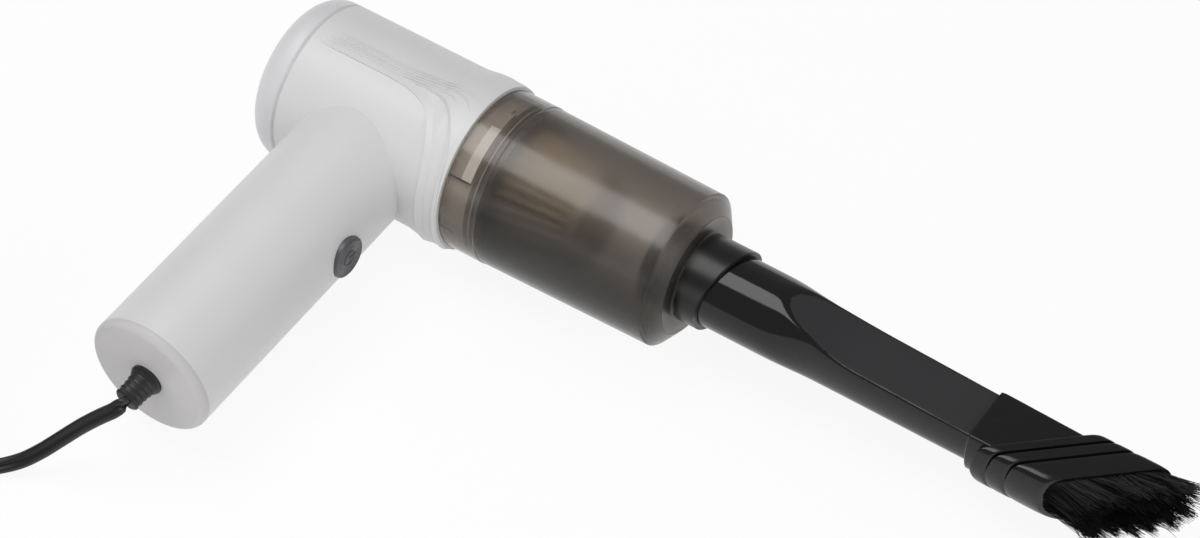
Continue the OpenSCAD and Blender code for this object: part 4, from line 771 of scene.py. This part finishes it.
# Nozzle: a glossy black polypropylene tube, moulded in one, that turns into a flat-topped crevice
# tool. The flat on top is spark-eroded and dull, with a bright crisp edge.
NOZZLE_R, NOZZLE_WALL = 14.1, 1.6
NOZZLE_REAR, NOZZLE_TIP, NOZZLE_EDGE = 80.1, 236, 0.3
FLAT_TIP_X, FLAT_BEND_X, FLAT_BEND_Z, FLAT_END_Z = 119.5, 146.5, 6.2, 2
FLAT_BLEND, DULL_ROOM, DULL_BACK = 8, 0.06, 2
CREVICE_X, CREVICE_HALF, CREVICE_END_HALF = 138, 10.45, 9.8
NARROWING = 0.013
SIDE_SWELL, SIDE_DROP, SIDE_SHARPNESS = 1.1, 8, 12
OUTSIDE_SHARPNESS, INSIDE_SHARPNESS = 42, 60
SLANT, SLANT_FROM, SLANT_RUN = 1.12, 190, 30
SECTION_SIDES, SECTION_CENTRE = 240, -4
LEAST_CLIMB = 0.01
BEND_FROM, BEND_STEP, BEND_RINGS = 116, 0.6, 60
TAIL_FROM, TAIL_STEP, TAIL_RINGS = 152, 6, 14
STATIONS = ([NOZZLE_REAR, NOZZLE_REAR + 0.4, 100, 114]
            + [BEND_FROM + i * BEND_STEP for i in range(BEND_RINGS)]
            + [TAIL_FROM + i * TAIL_STEP for i in range(TAIL_RINGS)] + [NOZZLE_TIP])


def flat_plane(x):
    """The flat's height at the axis and its fall for each millimetre along the nozzle. Its two
    slopes run into each other over a soft bend."""
    first = (NOZZLE_R - FLAT_BEND_Z) / (FLAT_BEND_X - FLAT_TIP_X)
    second = (FLAT_BEND_Z - FLAT_END_Z) / (NOZZLE_TIP - FLAT_BEND_X)
    along = x - FLAT_BEND_X
    if along < -FLAT_BLEND:
        return FLAT_BEND_Z - along * first, first
    if along > FLAT_BLEND:
        return FLAT_BEND_Z - along * second, second
    gone = along + FLAT_BLEND
    fall = between(gone, 0, first, 2 * FLAT_BLEND, second)
    return FLAT_BEND_Z + FLAT_BLEND * first - gone * (first + fall) / 2, fall


def crevice_half(x):
    """Half the nozzle's width at its flat's edges, at a distance from the seam."""
    if x < CREVICE_X:
        return CREVICE_HALF + NARROWING * (CREVICE_X - x) ** 2
    return between(x, CREVICE_X, CREVICE_HALF, NOZZLE_TIP, CREVICE_END_HALF)


def soft_least(reaches, sharpness):
    """About the least of some distances, with a softer turn between them at less sharpness."""
    least = min(reaches)
    return least * sum((r / least) ** -sharpness for r in reaches) ** (-1 / sharpness)


def section(x, slant, limits, sharpness):
    """A ring round the nozzle where the least of its limits holds, with softened corners. The
    limits are the round's radius, the flat's height, its fall, and the oval of the sides."""
    radius, flat, fall, (half, middle, tall) = limits
    ring = []
    for k in range(SECTION_SIDES):
        angle = 2 * math.pi * k / SECTION_SIDES
        side, up = math.cos(angle), math.sin(angle)
        sway = SECTION_CENTRE * up
        in_round = -sway + math.sqrt(sway * sway - SECTION_CENTRE ** 2 + radius * radius)
        a = (side / half) ** 2 + (up / tall) ** 2
        b = (SECTION_CENTRE - middle) * up / tall ** 2
        lift = ((SECTION_CENTRE - middle) / tall) ** 2
        in_oval = (math.sqrt(b * b - a * (lift - 1)) - b) / a
        reach = [soft_least([in_round, in_oval], SIDE_SHARPNESS)]
        climb = up + fall * slant * side
        if climb > LEAST_CLIMB:
            reach.append((flat - SECTION_CENTRE) / climb)
        t = soft_least(reach, sharpness)
        ring.append((x + slant * t * side, t * side, SECTION_CENTRE + t * up))
    return ring


def nozzle_limits(x, grow, bottom=0):
    """The nozzle's limits at a station, grown by a margin all round and below. The oval of its
    sides swells below the flat, whose edge it meets at the crevice's half width."""
    flat, fall = flat_plane(x)
    half = crevice_half(x)
    tall = SIDE_DROP / math.sqrt(1 - (half / (half + SIDE_SWELL)) ** 2)
    return (NOZZLE_R + grow + bottom, flat + grow, fall,
            (half + SIDE_SWELL + grow, min(flat, FLAT_BEND_Z) - SIDE_DROP, tall + grow))


def tip_slant(x):
    """How far the nozzle's sections lean at a distance from the seam: more towards its tip."""
    return SLANT * min(1, max(0, (x - SLANT_FROM) / SLANT_RUN))


outer = [section(x, tip_slant(x), nozzle_limits(x, -NOZZLE_EDGE if x == NOZZLE_REAR else 0),
                 OUTSIDE_SHARPNESS) for x in STATIONS]
inner = [section(x, tip_slant(x), nozzle_limits(x, -NOZZLE_WALL), INSIDE_SHARPNESS)
         for x in reversed(STATIONS)]
nozzle = add_at_seam("crevice_nozzle", skin_rings(outer + inner, closed=True))


def on_flat(p):
    """1 where a point of the nozzle lies on its flat, clear of the rounded edge."""
    near = abs(p.z - flat_plane(p.x)[0]) < DULL_ROOM
    return 1 if near and p.x > FLAT_TIP_X - DULL_BACK else 0


mark_points(nozzle, "dull", on_flat)

# Fine scratches and dust that a glossy black moulding picks up in use.
scuffed, given = new_skin("scuffed_gloss", {"Base Color": (0.01, 0.01, 0.01, 1),
                                            "Gloss Middle": 0.08, "Dust Amount": 0.2})
place = add_node(scuffed, "ShaderNodeTexCoord").outputs["Object"]
drawn = add_node(scuffed, "ShaderNodeMapping", {"Vector": place, "Rotation": (0, 0, 0.3),
                                                "Scale": (0.05, 1, 1)})
hairs = noise(scuffed, drawn.outputs[0], 2200)
dots = add_node(scuffed, "ShaderNodeMapRange", {"Value": noise(scuffed, place, 1500, 1),
                                                "From Min": 0.76, "From Max": 0.86})
dust = math_of(scuffed, "MULTIPLY", dots.outputs[0], given["Dust Amount"])
smudge = noise(scuffed, place, 70, 5)
add_node(scuffed, "NodeGroupOutput", {
    "Color": mixed(scuffed, dust, given["Base Color"], (0.2, 0.19, 0.18, 1)),
    "Roughness": math_of(scuffed, "MULTIPLY_ADD", smudge, 0.08, given["Gloss Middle"]),
    "Normal": bump(scuffed, hairs, FINE_BUMP, 0.05)})


def glossy_black(name, dull_attribute=None, gloss=0.06):
    """Scuffed glossy black, with a duller greyer skin where an attribute marks it."""
    material, tree, shader = new_material(name, Specular_IOR_Level=0.4)
    skin = put_skin(tree, shader, scuffed, {"Base Color": (0.004, 0.004, 0.0044, 1),
                                            "Gloss Middle": gloss}).outputs
    if dull_attribute is None:
        return material
    dull = add_node(tree, "ShaderNodeAttribute", attribute_name=dull_attribute).outputs["Fac"]
    eroded = add_node(tree, "ShaderNodeGroup", {
        "Base Color": (0.02, 0.0195, 0.021, 1), "Tone Spread": 0.12, "Grain Scale": 3000,
        "Gloss Middle": 0.62, "Gloss Spread": 0.1}, node_tree=moulded).outputs
    rough = add_node(tree, "ShaderNodeMix", {0: dull, 2: skin["Roughness"],
                                             3: eroded["Roughness"]}, data_type="FLOAT")
    feed(tree, shader, {"Base Color": mixed(tree, dull, skin["Color"], eroded["Color"]),
                        "Roughness": rough.outputs[0]})
    return material


nozzle.data.materials.append(glossy_black("glossy_black", "dull"))
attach(nozzle, "nozzle")
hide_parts("nozzle")

# Brush sleeve: a slip-on band of the same black plastic with a slanted mouth. Its thick front has
# three bulging bands with narrow grooves between.
SLEEVE_REAR, SLEEVE_THICK, SLEEVE_FRONT = 196.4, 216.4, 241.4
SLEEVE_FIT, SLEEVE_WALL, SLEEVE_BOTTOM = 0.08, 1.28, 1.6
REAR_EDGE, FRONT_EDGE = 0.25, 0.3
SLEEVE_TOP, SLEEVE_R = 5.5, 18.68
SLEEVE_SIDE = (14.9, -4.5, 20)
REAR_SHARPNESS, FRONT_SHARPNESS = 40, 14
REAR_RINGS, FRONT_RINGS, BORE_RINGS = 20, 110, 24
STEP_GAP = 0.6
GROOVE_PLACES = (222, 228.9)
GROOVE_HALF, GROOVE_DEPTH, BULGE = 0.75, 0.8, 0.35


def band_swell(s):
    """How far the thick part stands out of its plain form at a station along it."""
    depth = 0
    for groove in GROOVE_PLACES:
        apart = abs(s - groove)
        if apart < GROOVE_HALF:
            depth = GROOVE_DEPTH * math.cos(math.pi / 2 * apart / GROOVE_HALF)
    ends = [SLEEVE_THICK, *GROOVE_PLACES, SLEEVE_FRONT]
    for start, end in zip(ends, ends[1:]):
        if start <= s <= end:
            across = abs(2 * (s - start) / (end - start) - 1)
            return BULGE * (1 - across ** 4) - depth
    return -depth


def sleeve_slant(s):
    """How far the sleeve's sections lean at a station: more up to the thick part."""
    return SLANT * min(1, max(0, (s - SLEEVE_REAR) / (SLEEVE_THICK - SLEEVE_REAR)))


def along(start, end, count):
    """Stations at even steps from a start to an end."""
    return [start + (end - start) * i / (count - 1) for i in range(count)]


sleeve_rings = []
for i, s in enumerate(along(SLEEVE_REAR, SLEEVE_THICK - STEP_GAP, REAR_RINGS)):
    wall = SLEEVE_WALL - (REAR_EDGE if i == 0 else 0)
    sleeve_rings.append(section(s, sleeve_slant(s), nozzle_limits(s, wall, SLEEVE_BOTTOM),
                                REAR_SHARPNESS))
half, middle, tall = SLEEVE_SIDE
for i, s in enumerate(along(SLEEVE_THICK, SLEEVE_FRONT, FRONT_RINGS)):
    swell = band_swell(s) - (FRONT_EDGE if i in (0, FRONT_RINGS - 1) else 0)
    limits = (SLEEVE_R + swell, SLEEVE_TOP + swell, 0, (half + swell, middle, tall + swell))
    sleeve_rings.append(section(s, SLANT, limits, FRONT_SHARPNESS))
for s in along(SLEEVE_FRONT, SLEEVE_REAR, BORE_RINGS):
    sleeve_rings.append(section(s, sleeve_slant(s), nozzle_limits(s, SLEEVE_FIT),
                                INSIDE_SHARPNESS))
sleeve = add_at_seam("brush_band", skin_rings(sleeve_rings, closed=True))
sleeve.data.materials.append(glossy_black("sleeve_black", gloss=0.16))
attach(sleeve, "brush")
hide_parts("brush_sleeve")

# Bristles: some four thousand black nylon strands set in the mouth's rim in clumps, cut off a
# little unevenly and splayed by use. Their tree takes metres, and strands for each square metre.
BRISTLE_LEN, BRISTLE_D = 0.0145, 0.0003
BRISTLE_DENSITY = 6.5e6
BRISTLE_SPLAY, BRISTLE_CLUMP = 0.06, 1.1
BRISTLE_SEED = 5
CLUMP_SCALE, SHORTEST = 260, 0.72
RIM_DEPTH, RIM_MARGIN, RIM_BORE, BORE_SHARPNESS = 0.3, 0.9, -3.6, 30
RIM_TOP, RIM_SIDE = 4.8, (13.7, -4.5, 19)
rim_outer = section(SLEEVE_FRONT, SLANT, (SLEEVE_R - RIM_MARGIN, RIM_TOP, 0, RIM_SIDE),
                    FRONT_SHARPNESS)
rim_inner = section(SLEEVE_FRONT, SLANT, nozzle_limits(SLEEVE_FRONT, RIM_BORE), BORE_SHARPNESS)
rim_faces = [(k, (k + 1) % SECTION_SIDES, SECTION_SIDES + (k + 1) % SECTION_SIDES,
              SECTION_SIDES + k) for k in range(SECTION_SIDES)]
bristle_rim = add_at_seam("nylon_bristles", ([(x - RIM_DEPTH, y, z)
                                              for x, y, z in rim_outer + rim_inner], rim_faces))
if bristle_rim.data.polygons[0].normal.x < 0:
    bristle_rim.data.flip_normals()

bristle_tree = bpy.data.node_groups.new("bristle_field", "GeometryNodeTree")
for socket, kind in (("Geometry", "NodeSocketGeometry"), ("Density", "NodeSocketFloat"),
                     ("Length", "NodeSocketFloat"), ("Thickness", "NodeSocketFloat"),
                     ("Splay", "NodeSocketFloat"), ("Clump", "NodeSocketFloat"),
                     ("Seed", "NodeSocketInt"), ("Material", "NodeSocketMaterial")):
    bristle_tree.interface.new_socket(socket, in_out="INPUT", socket_type=kind)
bristle_tree.interface.new_socket("Geometry", in_out="OUTPUT", socket_type="NodeSocketGeometry")
given = bristle_tree.nodes.new("NodeGroupInput").outputs
spots = add_node(bristle_tree, "GeometryNodeDistributePointsOnFaces",
                 {"Mesh": given["Geometry"], "Density": given["Density"], "Seed": given["Seed"]})
half_thick = math_of(bristle_tree, "MULTIPLY", given["Thickness"], 0.5)
fine_tip = math_of(bristle_tree, "MULTIPLY", given["Thickness"], 0.25)
strand = add_node(bristle_tree, "GeometryNodeMeshCone",
                  {"Vertices": 3, "Side Segments": 4, "Radius Top": fine_tip,
                   "Radius Bottom": half_thick, "Depth": given["Length"]})
where = add_node(bristle_tree, "GeometryNodeInputPosition").outputs[0]
clumps = add_node(bristle_tree, "ShaderNodeTexNoise", {"Vector": where, "Scale": CLUMP_SCALE,
                                                       "Detail": 1})
swing = add_node(bristle_tree, "ShaderNodeVectorMath", {0: clumps.outputs["Color"],
                                                        1: (0.5, 0.5, 0.5)}, operation="SUBTRACT")
swung = add_node(bristle_tree, "ShaderNodeVectorMath", {0: swing.outputs[0],
                                                        "Scale": given["Clump"]},
                 operation="SCALE")
low = math_of(bristle_tree, "MULTIPLY", given["Splay"], -1)
own_way = add_node(bristle_tree, "FunctionNodeRandomValue", {0: low, 1: given["Splay"],
                                                             "Seed": given["Seed"]},
                   data_type="FLOAT_VECTOR")
leaning = add_node(bristle_tree, "ShaderNodeVectorMath", {0: swung.outputs[0],
                                                          1: own_way.outputs[0]},
                   operation="ADD")
forwards = add_node(bristle_tree, "ShaderNodeVectorMath", {0: leaning.outputs[0],
                                                           1: (0, math.pi / 2, 0)},
                    operation="ADD")
cut = add_node(bristle_tree, "FunctionNodeRandomValue", {2: SHORTEST, 3: 1.0,
                                                         "Seed": given["Seed"]},
               data_type="FLOAT")
shape = add_node(bristle_tree, "ShaderNodeCombineXYZ", {"X": 1, "Y": 1, "Z": cut.outputs[1]})
placed = add_node(bristle_tree, "GeometryNodeInstanceOnPoints",
                  {"Points": spots.outputs["Points"], "Instance": strand.outputs["Mesh"],
                   "Rotation": forwards.outputs[0], "Scale": shape.outputs[0]})
real = add_node(bristle_tree, "GeometryNodeRealizeInstances", {"Geometry": placed.outputs[0]})
joined = add_node(bristle_tree, "GeometryNodeJoinGeometry")
bristle_tree.links.new(real.outputs[0], joined.inputs[0])
bristle_tree.links.new(given["Geometry"], joined.inputs[0])
painted = add_node(bristle_tree, "GeometryNodeSetMaterial", {"Geometry": joined.outputs[0],
                                                             "Material": given["Material"]})
add_node(bristle_tree, "NodeGroupOutput", {0: painted.outputs[0]})

nylon = moulded_material("black_nylon", (0.014, 0.014, 0.0145), tone=0.5, grain=(1200, 0.1),
                         gloss=(0.34, 0.2))


def grown(piece, tree, values):
    """Runs a geometry tree on a piece with its inputs' values, and keeps the plain mesh."""
    modifier = piece.modifiers.new("grow", "NODES")
    modifier.node_group = tree
    for item in tree.interface.items_tree:
        if item.item_type == "SOCKET" and item.in_out == "INPUT" and item.name in values:
            modifier[item.identifier] = values[item.name]
    bpy.context.view_layer.update()
    seen = piece.evaluated_get(bpy.context.evaluated_depsgraph_get())
    mesh = bpy.data.meshes.new_from_object(seen)
    piece.modifiers.remove(modifier)
    piece.data = mesh


grown(bristle_rim, bristle_tree, {
    "Density": BRISTLE_DENSITY, "Length": BRISTLE_LEN, "Thickness": BRISTLE_D,
    "Splay": BRISTLE_SPLAY, "Clump": BRISTLE_CLUMP, "Seed": BRISTLE_SEED, "Material": nylon})
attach(bristle_rim, "brush")
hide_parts("bristles_top", "bristles_bottom", "bristles_left", "bristles_right")

# Power button: a dark grey cap that stands just out of the handle, with fine turned rings on its
# face and a raised power symbol. It slides on the switch bracket.
BUTTON_X, BUTTON_Y = -39.4, -59
BUTTON_R, BUTTON_FACE, BUTTON_FOOT = 7.6, 24.2, 16.4
FOOT_R, FOOT_HEIGHT = 8.8, 1.2
BUTTON_ROUND, ROUND_STEPS = 0.8, 4
RING_PITCH, RING_HEIGHT = 0.8, 0.07
SYMBOL_R, SYMBOL_HALF, SYMBOL_HEIGHT, SYMBOL_DEPTH = 2.6, 0.28, 0.22, 0.2
SYMBOL_GAP, STROKE_FROM, STROKE_PAST = 0.5, 0.4, 0.9
FACE_SIDES, FACE_RINGS, FACE_HOLE = 144, 72, 0.02


def symbol_at(up, side):
    """1 on the power symbol: an open ring with a stroke in its gap."""
    if abs(side) < SYMBOL_HALF and STROKE_FROM < up < SYMBOL_R + STROKE_PAST:
        return 1
    on_ring = abs(math.hypot(up, side) - SYMBOL_R) < SYMBOL_HALF
    return 1 if on_ring and abs(math.atan2(side, up)) > SYMBOL_GAP else 0


button_side = [(BUTTON_FOOT, FOOT_R), (BUTTON_FOOT + FOOT_HEIGHT, FOOT_R),
               (BUTTON_FOOT + FOOT_HEIGHT, BUTTON_R)]
for step in range(ROUND_STEPS + 1):
    turn = math.pi / 2 * step / ROUND_STEPS
    button_side.append((BUTTON_FACE - BUTTON_ROUND + BUTTON_ROUND * math.sin(turn),
                        BUTTON_R - BUTTON_ROUND + BUTTON_ROUND * math.cos(turn)))
button_rings = [[side] * FACE_SIDES for side in button_side]
for i in range(1, FACE_RINGS + 1):
    r = (BUTTON_R - BUTTON_ROUND) * (1 - i / FACE_RINGS) + FACE_HOLE
    groove = RING_HEIGHT * math.cos(2 * math.pi * r / RING_PITCH)
    ring = []
    for k in range(FACE_SIDES):
        angle = 2 * math.pi * k / FACE_SIDES
        raised = symbol_at(r * math.cos(angle), r * math.sin(angle))
        ring.append((BUTTON_FACE - RING_HEIGHT + (SYMBOL_HEIGHT if raised else groove), r))
    button_rings.append(ring)
button_points = []
for ring in button_rings:
    turns = [(x, r, 2 * math.pi * k / FACE_SIDES) for k, (x, r) in enumerate(ring)]
    button_points.append([(BUTTON_X + x, BUTTON_Y + r * math.cos(a), r * math.sin(a))
                          for x, r, a in turns])
button = add_at_seam("button_cap", skin_rings(button_points))


def on_symbol(p):
    """1 where a point of the button's face lies on its symbol."""
    on_face = p.x > BUTTON_X + BUTTON_FACE - SYMBOL_DEPTH
    return symbol_at(p.y - BUTTON_Y, p.z) if on_face else 0


mark_points(button, "symbol", on_symbol)
button_grey = moulded_material("button_grey", (0.085, 0.085, 0.09), tone=0.1, grain=(2200, 0.15),
                               gloss=(0.38, 0.1))
tree = button_grey.node_tree
marked = add_node(tree, "ShaderNodeAttribute", attribute_name="symbol").outputs["Fac"]
printed = mixed(tree, marked, tree.nodes["skin"].outputs["Color"], (0.03, 0.03, 0.033, 1))
feed(tree, tree.nodes["Principled BSDF"], {"Base Color": printed})
button.data.materials.append(button_grey)
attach(button, "button")
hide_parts("power_button")

# Motor, fan and fastenings inside: zinc-plated and bare steel, aluminium, brass, enamelled copper,
# ferrite and carbon, held in the barrel by ribs and in the handle by screws.
METALS = [
    ("zinc_plate", (0.62, 0.62, 0.63), (0.5, 0.49, 0.46), 1800, 0.22,
     ["motor_can", "motor_screws", "bracket_screws", "clamp_screws", "fan_nut", "button_spring",
      "plug_spring"]),
    ("core_steel", (0.42, 0.42, 0.43), (0.3, 0.26, 0.22), 3500, 0.25, ["motor_shaft", "armature"]),
    ("pressed_aluminium", (0.76, 0.76, 0.77), (0.62, 0.62, 0.62), 1800, 0.2, ["impeller"]),
    ("bare_brass", (0.7, 0.5, 0.22), (0.45, 0.32, 0.16), 1800, 0.2,
     ["motor_terminals", "front_bush", "rear_bush", "suppressor"]),
    ("enamelled_copper", (0.6, 0.26, 0.11), (0.35, 0.14, 0.06), 5200, 0.18,
     ["armature_windings", "commutator"])]
for name, color, tarnish, ring_scale, gloss, nodes in METALS:
    dress(metal_material(name, color, tarnish, ring_scale, gloss), *nodes)
ferrite = moulded_material("sintered_ferrite", (0.045, 0.045, 0.05), tone=0.25, grain=(1500, 0.5),
                           gloss=(0.7, 0.2))
dress(ferrite, "motor_magnets")
graphite = moulded_material("pressed_graphite", (0.025, 0.025, 0.026), tone=0.3, grain=(2600, 0.3),
                            gloss=(0.4, 0.3))
dress(graphite, "carbon_brushes")
red_vinyl = moulded_material("red_vinyl", (0.35, 0.02, 0.015), tone=0.1, grain=(900, 0.2),
                             gloss=(0.35, 0.1))
dress(red_vinyl, "motor_leads")
